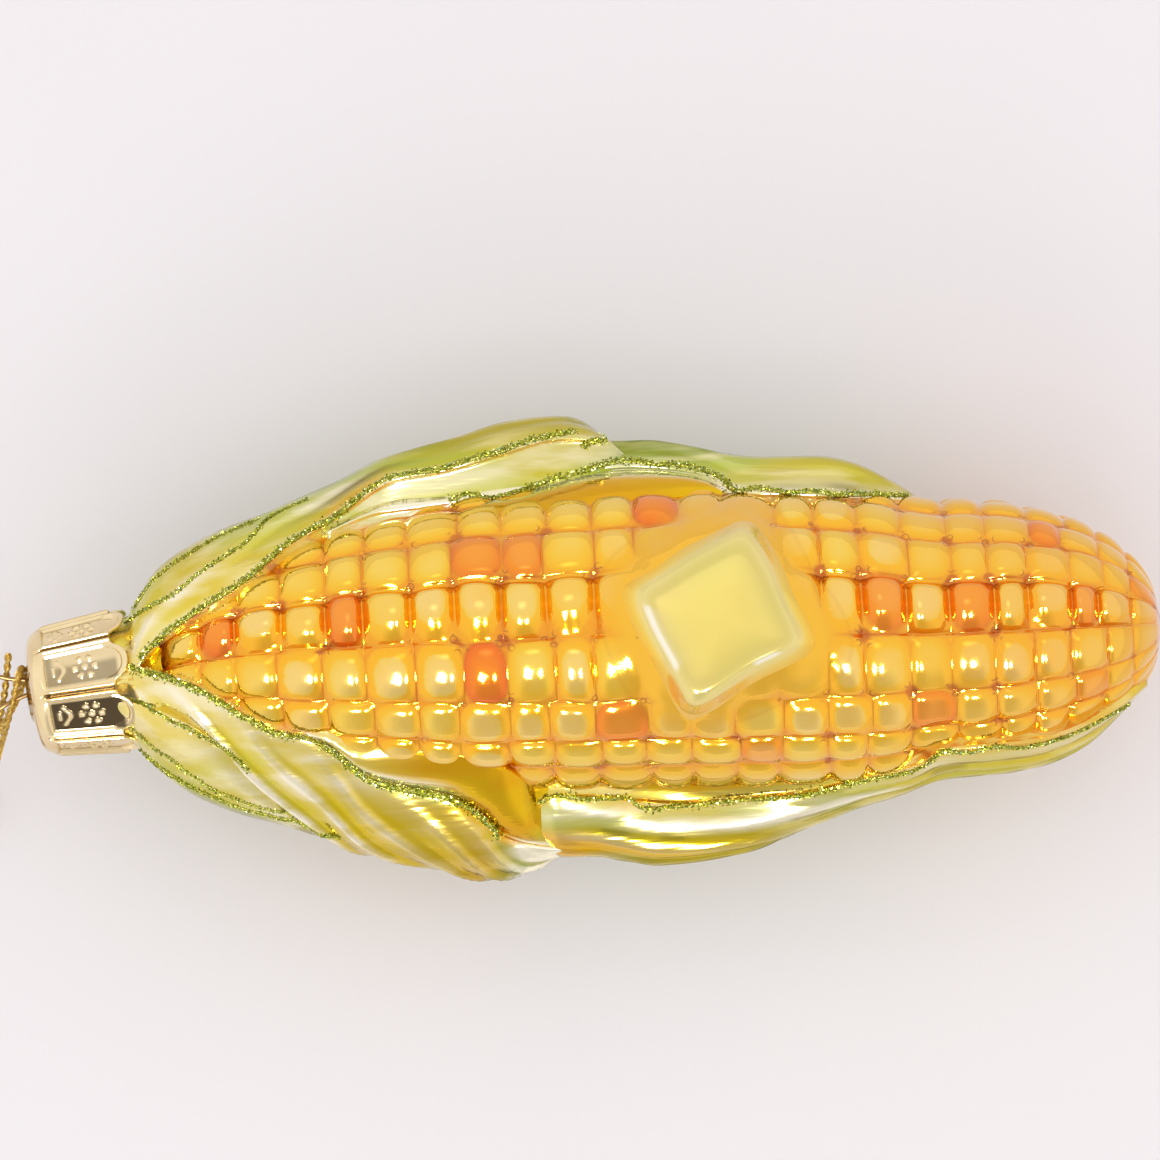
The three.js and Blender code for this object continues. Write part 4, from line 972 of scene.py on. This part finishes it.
LEAVES = {
    "upper_leaf": dict(  # from the cap, its tip curled over at mid length
        first=LEAF_START, last=61,
        edge=[(LEAF_START, 0.4, 6.9), (1.8, 1.0, 7.5), (3.0, 1.6, 8.5), (4.2, 3.3, 8.8), (5.8, 4.8, 8.9),
              (9.6, 7.2, 10.0), (13.1, 9.2, 10.4), (16.2, 11.1, 10.3),
              (20.4, 14.4, 9.0), (24.5, 16.6, 7.6), (28.1, 18.8, 6.6), (32.5, 21.2, 5.8), (38.3, 22.0, 5.6),
              (45, 23.6, 5.0), (50.8, 24.9, 3.8), (56.5, 24.4, 2.6), (61, 23.4, 0.6)],
        wrap=[(LEAF_START, 150), (61, 140)], lift=[(LEAF_START, 0), (50, 0.1), (56, -0.6), (61, -3.4)],
        flank=[(LEAF_START, 2), (30, 3), (61, 4)],
        flutes=2, flute_height=0.3, slant=0.01,
        silver_and_highlight=lambda x, t: (
            1.2 * hump(t, 0.13, 0.05) * (1 - 0.6 * smooth(x, 22, 30)) + 0.8 * hump(t, 0.3, 0.025) + inner(t)
        ),
        amber=lambda x, t: foot(t) * (1 - smooth(x, 24, 30)) + 0.95 * hump(x, 28, 4.5) * hump(t, 0.03, 0.06),
        painted_shade=lambda x, t: 0.8 * hump(x, 28, 5.5) * hump(t, 0.105, 0.022),
    ),
    "long_upper_leaf": dict(  # from under it to a slim tip well along the kernels
        first=25, last=91.6,
        edge=[(25, 15.6, 7.8), (30.2, 17.6, 6.4), (34, 18, 6.0), (38.9, 18.4, 5.6), (45.6, 19, 4.8),
              (50.5, 20.3, 3.4), (56.4, 21.3, 2.8), (62, 21.1, 3.0), (67.8, 19.9, 4.4), (71, 17.9, 7.2),
              (76.4, 17.3, 7.4), (82.4, 16.7, 6.8), (88, 16.1, 4.8), (91.6, 15.5, 2.2)],
        flank=[(25, 2), (37, 5), (42, 13), (46, 20), (50, 25), (56, 22), (60, 20), (66, 13), (70, 5),
               (72, 2), (91.6, 2)],
        bulge=[(38, -0.5), (44, 0.5), (66, 0.5), (72, -0.5)],
        wrap=[(25, 120), (60, 140), (85, 135), (91.6, 110)],
        lift=[(25, -2.6), (52, -2.2), (63, -0.1), (91.6, -0.2)],
        flutes=2, flute_height=0.35, slant=0.008,
        silver_and_highlight=lambda x, t: 1.2 * hump(t, 0.1, 0.07) + 2.0 * inner(t),
        amber=lambda x, t: 1.3 * foot(t),
        painted_shade=lambda x, t: (
            0.5 * hump(x, 83, 2.6) * hump(t, 0.05, 0.04) + 0.3 * hump(x, 77, 3) * hump(t, 0.03, 0.03)
        ),
    ),
    "short_lower_leaf": dict(  # at the lower side of the cap
        first=LEAF_START, last=23,
        edge=[(LEAF_START, -2.2, 6.7), (1.8, -2.5, 7.2), (5.1, -3.6, 8.8), (8.3, -5.4, 9.4),
              (12.3, -8.3, 8.8), (15.1, -11, 7.4), (19, -15, 4.6), (23, -18, 1.2)],
        flank=[(LEAF_START, 2), (23, 2)], wrap=[(LEAF_START, -150), (23, -135)],
        lift=[(LEAF_START, 0), (17, 0), (23, -0.8)],
        flutes=2, flute_height=0.2, slant=0,
        silver_and_highlight=lambda x, t: 0.7, amber=lambda x, t: 0.1 + foot(t), stations=60,
    ),
    "fluted_lower_leaf": dict(  # twisted so that its folds cross it
        first=LEAF_START, last=54,
        edge=[(LEAF_START, 2.2, 6.7), (1.8, 1.8, 7.3), (3.2, 1.5, 8.4), (6.3, 0.4, 9.8), (9.9, -1.3, 11.0),
              (14.8, -4.6, 11.0), (18.2, -6.6, 10.6),
              (23.6, -8.6, 10.4), (27.5, -12, 8.2), (31.7, -13.7, 6.9), (37.3, -15.2, 6.0),
              (40.8, -17.7, 4.6), (43, -20, 3.4), (48, -21.6, 2), (54, -22, 0.4)],
        wrap=[(LEAF_START, -130), (20, -140), (54, -145)],
        flank=[(LEAF_START, 2), (20, 2.5), (25, 9), (30, 18), (36, 24), (43, 27), (45.5, 20),
               (47.5, 8), (54, 4)],
        bulge=[(20, -0.5), (27, 0.9), (45, 1.1), (48, 0.2), (54, 0.0)],
        lift=[(LEAF_START, -0.9), (14, -0.7), (24, 0), (43, 0.1), (48, -0.8), (54, -3.0)],
        flutes=5.2, flute_height=0.38, slant=0.13,
        silver_and_highlight=lambda x, t: (
            1.1 * (1 - smooth(x, 20, 36)) * (1 - smooth(t, 0.4, 0.6)) + 0.25 * smooth(t, 0.0, 0.05)
            + 2.4 * hump(t, -0.24, 0.13) * (1 - smooth(x, 35, 40))
            + 3 * smooth(x, 42.5, 46) * smooth(t, -0.1, 0.0)
        ),
        amber=lambda x, t: (
            foot(t) + inner(t) * smooth(x, 35, 40) * (1 - smooth(x, 44, 50) * smooth(t, -0.5, -0.2))
            + 0.65 * smooth(x, 16, 28) * (1 - smooth(x, 40, 45)) * smooth(t, 0.0, 0.05)
        ),
        painted_shade=lambda x, t: 0.5 * hump(t, -0.97, 0.05) * smooth(x, 30, 33) * (1 - smooth(x, 41, 44)),
    ),
    "long_lower_leaf": dict(  # out to the tip of the ear
        first=45.5, last=116,
        edge=[(45.5, -16.6, 2.6), (47, -16.0, 4.2), (48.8, -15.7, 4.8), (52, -15.9, 4.4),
              (57.3, -16.6, 3.2), (63.5, -17.3, 2.2),
              (72.2, -17, 2.4), (77.7, -16.8, 3.4), (83.5, -15.5, 5.4), (89.3, -14.5, 7.4),
              (92.3, -12.9, 9.6), (98, -12.6, 9.9), (103.9, -12.2, 9.0), (109.7, -10.3, 7.9),
              (113.4, -8.4, 5.8), (116, -6.6, 3)],
        wrap=[(45.5, -140), (90, -140), (104, -130), (116, -115)],
        lift=[(45.5, -3.4), (47, -2.6), (49, -0.9), (53, -0.2), (58, 0), (100, 0.1), (116, -0.1)],
        flank=[(45.5, 2), (62, 2.5), (76, 5), (92, 4), (116, 3)],
        flutes=6, flute_height=0.3, slant=0.02,
        silver_and_highlight=lambda x, t: (
            1.7 * hump(t, 0.1, 0.07) * (1 - 0.7 * smooth(x, 82, 96)) + 0.3 * smooth(t, 0.0, 0.05)
            + 0.4 * inner(t)
        ),
        amber=lambda x, t: (
            foot(t) + 0.5 * inner(t) + hump(t, 0.27, 0.09) * (1 - smooth(x, 62, 80)) + 0.3 * smooth(x, 80, 90)
            + hump(t, 0.27, 0.1) * (1 - smooth(x, 50, 56)) + 0.5 * hump(x, 57, 2.5) * hump(t, 0.02, 0.03)
        ),
        painted_shade=lambda x, t: (
            0.6 * hump(t, 0.163, 0.016) * smooth(math.sin(x * 0.35) + math.sin(x * 0.83), 0.2, 1.1)
        ),
    ),
}

STROKES_PER_MM = (0.06, 0.42, 0.42)  # long and narrow, as the brush went along the leaves
PATCHES_PER_MM = (0.045, 0.13, 0.13)
husk_lacquer, tree = new_finish("green_lacquer_on_silvered_glass")
# Blown glass, silvered inside, under thin lime lacquer that was brushed along the leaves: silver
# where it is thinnest, yellow and amber where it pooled in the folds, greener towards the back.
# The silver bands are partly painted highlight, and the dark marks and the dark olive band round
# the widest line are painted shade.
coordinates = add_node(tree, "TexCoord").outputs["Object"]
marked = {name: add_node(tree, "Attribute", attribute_name=name) for name in HUSK_MARKS}
fine = add_node(tree, "Mapping", {"Vector": coordinates, "Scale": [n / MM for n in STROKES_PER_MM]})
broad = add_node(tree, "Mapping", {"Vector": coordinates, "Scale": [n / MM for n in PATCHES_PER_MM]})
strokes = add_node(tree, "TexNoise", {"Vector": fine, "Scale": 1.0, "Detail": 3.0})
patches = add_node(tree, "TexNoise", {"Vector": broad, "Scale": 1.0, "Detail": 2.0})
# Greener towards the back; the narrow dark olive stops round 0.5, where the husk turns past its widest line,
# are painted shade.
lacquer = add_node(tree, "ValToRGB", {"Fac": marked["round"]}, [
    (0.12, "#E8D254"), (0.24, "#DECA3C"), (0.36, "#CAC632"), (0.44, "#B4BE30"), (0.482, "#7A8824"),
    (0.505, "#707C20"), (0.54, "#8C9C34"), (0.62, "#8CA63C"),
])
patched = add_node(tree, "ValToRGB", {"Fac": patches}, [(0.45, "#000000"), (0.6, "#C4C4C4")])
stroked = add_node(tree, "ValToRGB", {"Fac": strokes}, [(0.48, "#000000"), (0.66, "#B4B4B4")])
yellow = add_node(tree, "ValToRGB", {"Fac": patches}, [(0.35, "#DCA400"), (0.65, "#E2C200")])
crest = add_node(tree, "MapRange", {"Value": marked["crest"], "From Min": -0.6, "From Max": 0.9})
streaked = add_node(tree, "MapRange", {
    "Value": strokes, "From Min": 0.36, "From Max": 0.62, "To Min": 0.35, "To Max": 1.25,
})
# Silver shows most on the flute crests and along the silver bands: thin lacquer, and painted highlight.
sheen_share = add_node(tree, "Math", {0: crest, 1: streaked}, operation="MULTIPLY")
bare_and_lit = add_node(tree, "Math", {0: sheen_share, 1: marked["silver_and_highlight"]}, operation="MULTIPLY", use_clamp=True)
# The dark marks mixed in last are painted shade.
for where, tone in (
    (patched, "#DABC14"), (stroked, "#F2E6A0"), (marked["amber"], yellow), (bare_and_lit, "#F8F0D4"),
    (marked["painted_shade"], "#5A4414"),
):
    lacquer = add_node(tree, "Mix", {"Factor": where, A_COLOUR: lacquer, B_COLOUR: tone}, data_type="RGBA")
clear = add_node(tree, "MapRange", {"Value": marked["amber"], "To Min": 0.78, "To Max": 0.97})
pulled = add_node(tree, "Bump", {"Height": strokes, "Strength": 0.55, "Distance": 0.3 * MM})
shader = add_node(tree, "BsdfPrincipled", {
    "Base Color": lacquer, "Metallic": clear, "Roughness": 0.14, "Coat Weight": 0.25, "Coat Roughness": 0.03,
    "Normal": pulled,
})
add_node(tree, "OutputMaterial", {"Surface": shader})

parts = [finished(name, leaf_skin(**leaf), husk_lacquer) for name, leaf in LEAVES.items()]

# The body under the leaves, which shows as smooth golden folds between them and the kernels.
BODY_SIDES = 120
BODY_END = 96
BODY_STATIONS = 140
body_rings = []
turned = [min(j, BODY_SIDES - j) / BODY_SIDES * 2 for j in range(BODY_SIDES)]
gilt = [1 - smooth(t, 0.5, 0.62) for t in turned]
neck_profile = [
    (-NECK_LENGTH, 0.0), (-NECK_LENGTH, 4.2), (-NECK_LENGTH + 0.3, NECK_RADIUS), (-0.8, NECK_RADIUS),
    (-0.6, 5.3),
]
angles = [2 * math.pi * j / BODY_SIDES for j in range(BODY_SIDES)]
for x, radius in neck_profile:
    body_rings.append([place(x, radius * math.sin(a), radius * math.cos(a)) for a in angles])
for x in steps(LEAF_START, BODY_END, BODY_STATIONS):
    scale = mix(0.9, 0.8, max(0.0, x - BODY_END + 10) / 10)
    ring = []
    for j in range(BODY_SIDES):
        point = husk_point(x, j / BODY_SIDES * 360, scale)
        sunk = smooth(x, 20, 32) if point.y > cob_shift(x) else smooth(x, 47, 54)
        if point.z > 0:
            point.z *= mix(0.82, 0.25, sunk)
        ring.append(place(*rested(point)))
    body_rings.append(ring)
body_rings.append([place(BODY_END, cob_shift(BODY_END), 0)] * BODY_SIDES)
body_marks = {"round": [turned] * len(body_rings), "amber": [gilt] * len(body_rings)}
parts.append(finished("husk_body", skin_over(body_rings, body_marks), husk_lacquer))

# The leaf down the middle of the back, with a low midrib.
BACK_END = 99
VEINS = 22                   # how closely the veins lie side by side
back_half = through([(LEAF_START, 34), (20, 27), (50, 30), (75, 26), (90, 16), (BACK_END, 4)])
back_rings = []
back_crests = []
for x in steps(LEAF_START, BACK_END, 120):
    outer, crests = [], []
    for t in steps(-1, 1, 40):
        rib = 0.35 * hump(t, 0.0, 0.14)
        vein = math.cos(t * VEINS)
        lift = mix(0.9 - 0.35 * t**4 + rib + 0.12 * vein, -0.4, smooth(x, 88, BACK_END))
        outer.append(husk_point(x, 180 + t * back_half(x), 1, lift))
        crests.append(vein)
    axis = Vector((x, cob_shift(x), 0))
    rooted = [axis + (p - axis) * 0.8 for p in reversed(outer[::8])]
    back_rings.append([place(*rested(p)) for p in outer + rooted])
    back_crests.append(crests + [0.0] * len(rooted))
back_marks = {"crest": back_crests}
for name, value in (("silver_and_highlight", 0.5), ("amber", 0.1), ("round", 0.62)):
    back_marks[name] = [[value] * len(back_rings[0]) for _ in back_rings]
close_ends(back_rings, back_marks)
parts.append(finished("back_leaf", skin_over(back_rings, back_marks), husk_lacquer))
husk = join("husk_glass", parts)
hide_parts("glass_body")


# The glitter: lines of clear glue drawn along the leaves' edges and veins with a nozzle, then
# strewn with cut metallised flakes in greens, most of them about a third of a millimetre wide.
GLUE_WIDTH = 0.95
GLUE_HEIGHT = 0.2
FLAKE_RADIUS = 0.14
FLAKES_PER_MM = 26
GLITTER_LINES = {  # each along the ear, across it, and how wide it is against the usual
    "vein": ([(1.5, 6.5), (4.5, 8.2), (7.4, 9.5), (10.5, 11.7), (13.4, 13.5), (16.4, 15.4), (18.2, 17.3),
              (20.9, 18.6), (23, 19.4)], 0.6),
    "upper": ([(3.3, 2.5), (5.8, 4.8), (9.6, 7.2), (13.1, 9.2), (16.2, 11.1), (20.4, 14.4), (23.1, 15.9),
               (26, 17.2), (28.1, 18.8), (30.5, 20.4), (32.5, 21.3), (35.5, 21.7), (38.3, 22), (41.3, 22.8),
               (45, 23.6), (47.8, 24.5), (50.8, 25), (53.7, 25.4)], 1.0),
    "fold": ([(53.9, 23.7), (55.2, 24.1), (57, 24.3), (58.8, 24.4)], 1.3),
    "long_upper": ([(38.9, 18.2), (40.7, 19), (43.2, 18.4), (45.6, 18.7), (48.8, 19.6), (50.5, 20.2),
                    (53.4, 20.7), (56.4, 21.5), (59.3, 21.7), (62.1, 21.2), (65, 20.9), (67.8, 20.1),
                    (69.5, 19.1), (70.9, 17.7), (73.5, 17.8), (76.4, 17.2), (79.5, 17.1), (82.4, 16.6),
                    (85.2, 16.5), (88.2, 16.3), (90.4, 16.1)], 0.95),
    "fluted": ([(2.1, 1.7), (3.9, 1), (6.3, 0.4), (7.8, -0.3), (9.9, -1.3), (11.9, -2.6), (14.8, -4.6),
                (16.5, -5.6), (18.2, -6.6), (22, -7.4), (23.6, -8.4), (25.1, -9.6), (27.5, -12),
                (31.7, -13.7), (34.4, -14.3), (37.3, -15.2), (39.4, -16.4), (40.8, -17.7), (42, -19),
                (42.3, -20)], 1.05),
    "short": ([(0.5, -1.6), (3.2, -2.5), (5.1, -3.6), (6.7, -4.7), (8.3, -5.4), (10.3, -6.7), (12.3, -8.1),
               (13.7, -9.4), (15.1, -11)], 0.6),
    "short_vein": ([(1.8, -5.1), (3, -6.3), (4.4, -7.7), (6.3, -9), (7.7, -10.4), (9.2, -11.5),
                    (10.7, -12.7), (12.5, -13.5), (14.2, -14.3), (17, -15.3), (19, -15.7)], 0.45),
    "lower": ([(46.9, -16.1), (48.8, -15.4), (52.1, -15.9), (55, -16), (57.3, -16.3), (58.3, -17.2),
               (63.5, -17.3), (67.8, -17.1), (74.7, -17), (77.7, -16.8), (80.6, -16.1), (83.5, -15.5),
               (86.5, -15.1), (89.3, -14.6), (91, -13.6), (92.3, -12.7), (95.2, -12.9), (98.1, -12.4),
               (100.9, -12.7), (103.9, -12.3), (106.7, -11.6), (109.7, -10.4), (112.6, -9.1),
               (113.8, -8.6)], 0.85),
}
SIDE_LINES = {  # along the ear, at which angle round the husk, and how wide
    "upper_side": ((2.5, 17.5), (72, 76), 0.5),
    "lower_side": ((2.5, 24.5), (-74, -80), 0.6),
}

glass = bmesh.new()
for piece in (husk, cob):
    glass.from_mesh(piece.data)
glass_tree = BVHTree.FromBMesh(glass)
glass.free()
DOWN = Vector((0, 0, -1))
ABOVE = 40.0                 # rays start this high over the ornament's middle plane
OUTSIDE = 30.0               # or this far outside its side
LINE_STEP = 0.3


def on_glass(start, towards):
    """The point and normal of the glass that a ray meets."""
    spot, normal, _, _ = glass_tree.ray_cast(start, towards)
    return None if spot is None else (spot, normal if normal.dot(towards) < 0 else -normal)


def on_side(x, degrees):
    """The point and normal of the glass, from straight outside at an angle round the husk."""
    start = place(*husk_point(x, degrees, 1, OUTSIDE))
    axis = Vector((x, cob_shift(x), 0))
    return on_glass(start, (place(*axis) - start).normalized())


BEAD_PROFILE = [(-1.0, -0.9), (-0.8, 0.35), (-0.4, 0.85), (0, 1.0), (0.4, 0.85), (0.8, 0.35), (1.0, -0.9)]


def glue_line(points, width):
    """A raised bead of glue along points on the glass, each with its normal."""
    rings = []
    for i, (spot, normal) in enumerate(points):
        before, after = points[max(i - 1, 0)][0], points[min(i + 1, len(points) - 1)][0]
        ahead = (after - before).normalized()
        side = ahead.cross(normal).normalized()
        lumps = noise.noise(spot * 1400.0)
        taper = min(1.0, 0.25 + min(i, len(points) - 1 - i) * 0.3)
        half = GLUE_WIDTH / 3 * width * taper * (1 + 0.25 * noise.noise(spot * 700.0 + Vector((3, 1, 2))))
        height = GLUE_HEIGHT * taper * (1 + 0.35 * lumps) * min(1.0, width + 0.2)
        rings.append([spot + (side * half * s + normal * height * h) * MM for s, h in BEAD_PROFILE])
    close_ends(rings, {})
    return skin_over(rings, {})


def strew(points, width, draw):
    """Scatters flakes over a line of points, standing every way in its glue."""
    bm = bmesh.new()
    layer = bm.verts.layers.float.new("tone")
    for (spot, normal), (after, _) in zip(points, points[1:]):
        length = (after - spot).length / MM
        ahead = (after - spot).normalized()
        side = ahead.cross(normal).normalized()
        for _ in range(int(FLAKES_PER_MM * length * width**1.6 + draw.random())):
            off = max(-1.5, min(1.5, draw.gauss(0, 0.58))) * GLUE_WIDTH / 2 * width
            bead = GLUE_HEIGHT * 0.9 * max(0.0, 1 - (2 * off / GLUE_WIDTH / width) ** 2)
            rise = bead + draw.uniform(0, 0.08)
            where = spot + (side * off + normal * rise + ahead * draw.uniform(0, length)) * MM
            facing = (normal + Vector([draw.gauss(0, 0.55) for _ in range(3)])).normalized()
            turn = facing.to_track_quat("Z", "Y").to_matrix().to_4x4()
            radius = FLAKE_RADIUS * draw.uniform(0.6, 1.15) * MM
            made = bmesh.ops.create_cone(
                bm, cap_ends=True, segments=5, radius1=radius, radius2=radius * 0.8, depth=0.05 * MM,
                matrix=Matrix.Translation(where) @ turn @ Matrix.Rotation(draw.uniform(0, math.pi), 4, "Z"),
            )
            tone = draw.random()
            for vert in made["verts"]:
                vert[layer] = tone
    return bm


DUST_PER_MM = 4.2
glue_colour, tree = new_finish("green_tinted_glue")
# Water-based glue dried clear and glossy over green dust: dark and lumpy between the flakes.
coordinates = add_node(tree, "TexCoord").outputs["Object"]
dust = add_node(tree, "TexVoronoi", {"Vector": coordinates, "Scale": DUST_PER_MM / MM})
dust_tone = add_node(tree, "ValToRGB", {"Fac": dust}, [(0.1, "#B4B044"), (0.5, "#84862A")])
lumpy = add_node(tree, "Bump", {"Height": dust, "Strength": 0.8, "Distance": 0.08 * MM})
shader = add_node(tree, "BsdfPrincipled", {
    "Base Color": dust_tone, "Metallic": 0.5, "Roughness": 0.35, "Normal": lumpy,
})
add_node(tree, "OutputMaterial", {"Surface": shader})
flake_finish, tree = new_finish("metallised_polyester_flake")
# Cut from dyed metallised film: each flake is flat and mirror bright, so only a few catch a lamp.
dyed = add_node(tree, "Attribute", attribute_name="tone")
flake_tone = add_node(tree, "ValToRGB", {"Fac": dyed}, [
    (0.0, "#5E6E14"), (0.25, "#8C9622"), (0.55, "#B8B83A"), (0.78, "#E0DE6C"), (0.92, "#FAF6BC"),
    (1.0, "#7CB07C"),
])
shader = add_node(tree, "BsdfPrincipled", {"Base Color": flake_tone, "Metallic": 0.9, "Roughness": 0.22})
add_node(tree, "OutputMaterial", {"Surface": shader})

BATCH = 12                   # points of a line whose flakes are cut together
draw = random.Random(11)
glue_beads = []
flakes = []


def glitter_line(name, points, width):
    """Draws one line of glue over points of the glass and strews it with flakes."""
    glue_beads.append(finished(f"glue_{name}", glue_line(points, width), glue_colour))
    for first in range(0, len(points) - 1, BATCH):
        batch = strew(points[first : first + BATCH + 1], width, draw)
        flakes.append(finished(f"flakes_{name}_{first}", batch, flake_finish))


for name, (route, width) in GLITTER_LINES.items():
    line = line_through([Vector((x, y, 0)) for x, y in route], LINE_STEP)
    found = [on_glass(place(p.x, p.y, ABOVE), DOWN) for p in line]
    glitter_line(name, [spot for spot in found if spot], width)
for name, ((first, last), (angle, last_angle), width) in SIDE_LINES.items():
    count = int((last - first) / LINE_STEP)
    found = [on_side(x, a) for x, a in zip(steps(first, last, count), steps(angle, last_angle, count))]
    glitter_line(name, [spot for spot in found if spot], width)
glue = join("glitter_glue", glue_beads)
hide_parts("glass_body")
glitter = join("glitter_flakes", flakes)
for face in glitter.data.polygons:
    face.use_smooth = False
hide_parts("glass_body")


# The table: a white sheet. Light comes from all round, and from two lamps that the glass mirrors
# and two softboxes, one on each side, that it doesn't.
FLOOR_SIDE = 3.0
bm = bmesh.new()
bmesh.ops.create_grid(bm, x_segments=1, y_segments=1, size=FLOOR_SIDE / 2)
floor_mesh = bpy.data.meshes.new("floor")
bm.to_mesh(floor_mesh)
bm.free()
MOTTLE_PER_MM = 0.014
paper, tree = new_finish("matt_white_paper")
# Wood-free paper, calendered matt: no gloss, and a very faint cloudiness in the light.
coordinates = add_node(tree, "TexCoord").outputs["Object"]
mottle = add_node(tree, "TexNoise", {"Vector": coordinates, "Scale": MOTTLE_PER_MM / MM, "Detail": 2.0})
sheet_tone = add_node(tree, "ValToRGB", {"Fac": mottle}, [(0.3, "#E9E6E9"), (0.7, "#EBE8EB")])
shader = add_node(tree, "BsdfPrincipled", {"Base Color": sheet_tone, "Roughness": 0.85})
add_node(tree, "OutputMaterial", {"Surface": shader})
floor_mesh.materials.append(paper)
floor = bpy.data.objects.new("floor", floor_mesh)
bpy.context.collection.objects.link(floor)


def lamp(name, spot, size, watts, mirrored=False):
    """A lamp at spot, in metres, turned to the ornament: one it mirrors, or one that fills in."""
    light = bpy.data.lights.new(name, "AREA")
    light.shape = "RECTANGLE"
    light.size, light.size_y = size
    light.energy = watts
    holder = bpy.data.objects.new(name, light)
    holder.location = spot
    holder.rotation_euler = (Vector((0, 0, 0.02)) - Vector(spot)).to_track_quat("-Z", "Y").to_euler()
    holder.visible_diffuse = not mirrored
    holder.visible_glossy = mirrored
    bpy.context.collection.objects.link(holder)


lamp("near_lamp", (-0.22, -0.43, 0.9), (0.19, 0.19), 8.0, mirrored=True)
lamp("second_near_lamp", (0.15, -0.43, 0.9), (0.13, 0.13), 4.0, mirrored=True)
lamp("near_softbox", (-0.15, -1.0, 0.6), (0.9, 0.5), 1.7)
lamp("far_softbox", (-0.3, 0.7, 0.9), (0.7, 0.5), 0.3)

# The studio is a white tent, open on the near side, so the glass mirrors a dim patch there. The
# cloth is thinner overhead on the far side, and glows.
world = bpy.data.worlds.new("studio")
world.use_nodes = True
tree = world.node_tree
direction = add_node(tree, "TexCoord").outputs["Generated"]
opening = add_node(tree, "Mapping", {
    "Vector": direction, "Location": (0.0, 1.33, -0.3), "Scale": (1.6, 1.7, 0.5),
})
from_opening = add_node(tree, "VectorMath", {0: opening}, operation="LENGTH")
tent = add_node(tree, "MapRange", {
    "Value": from_opening, "From Min": 0.3, "From Max": 1.0, "To Min": 0.72, "To Max": 1.1,
}, interpolation_type="SMOOTHSTEP")
skylight = add_node(tree, "Mapping", {
    "Vector": direction, "Location": (0.1, -1.1, -0.95), "Scale": (2.4, 4.0, 1.0),
})
from_skylight = add_node(tree, "VectorMath", {0: skylight}, operation="LENGTH")
glow = add_node(tree, "MapRange", {
    "Value": from_skylight, "From Min": 0.1, "From Max": 0.75, "To Min": 0.6, "To Max": 0.0,
}, interpolation_type="SMOOTHSTEP")
tent = add_node(tree, "Math", {0: tent, 1: glow}, operation="ADD")
background = tree.nodes["Background"]
background.inputs["Color"].default_value = linear("#FBF8F8")
tree.links.new(tent.outputs[0], background.inputs["Strength"])
bpy.context.scene.world = world
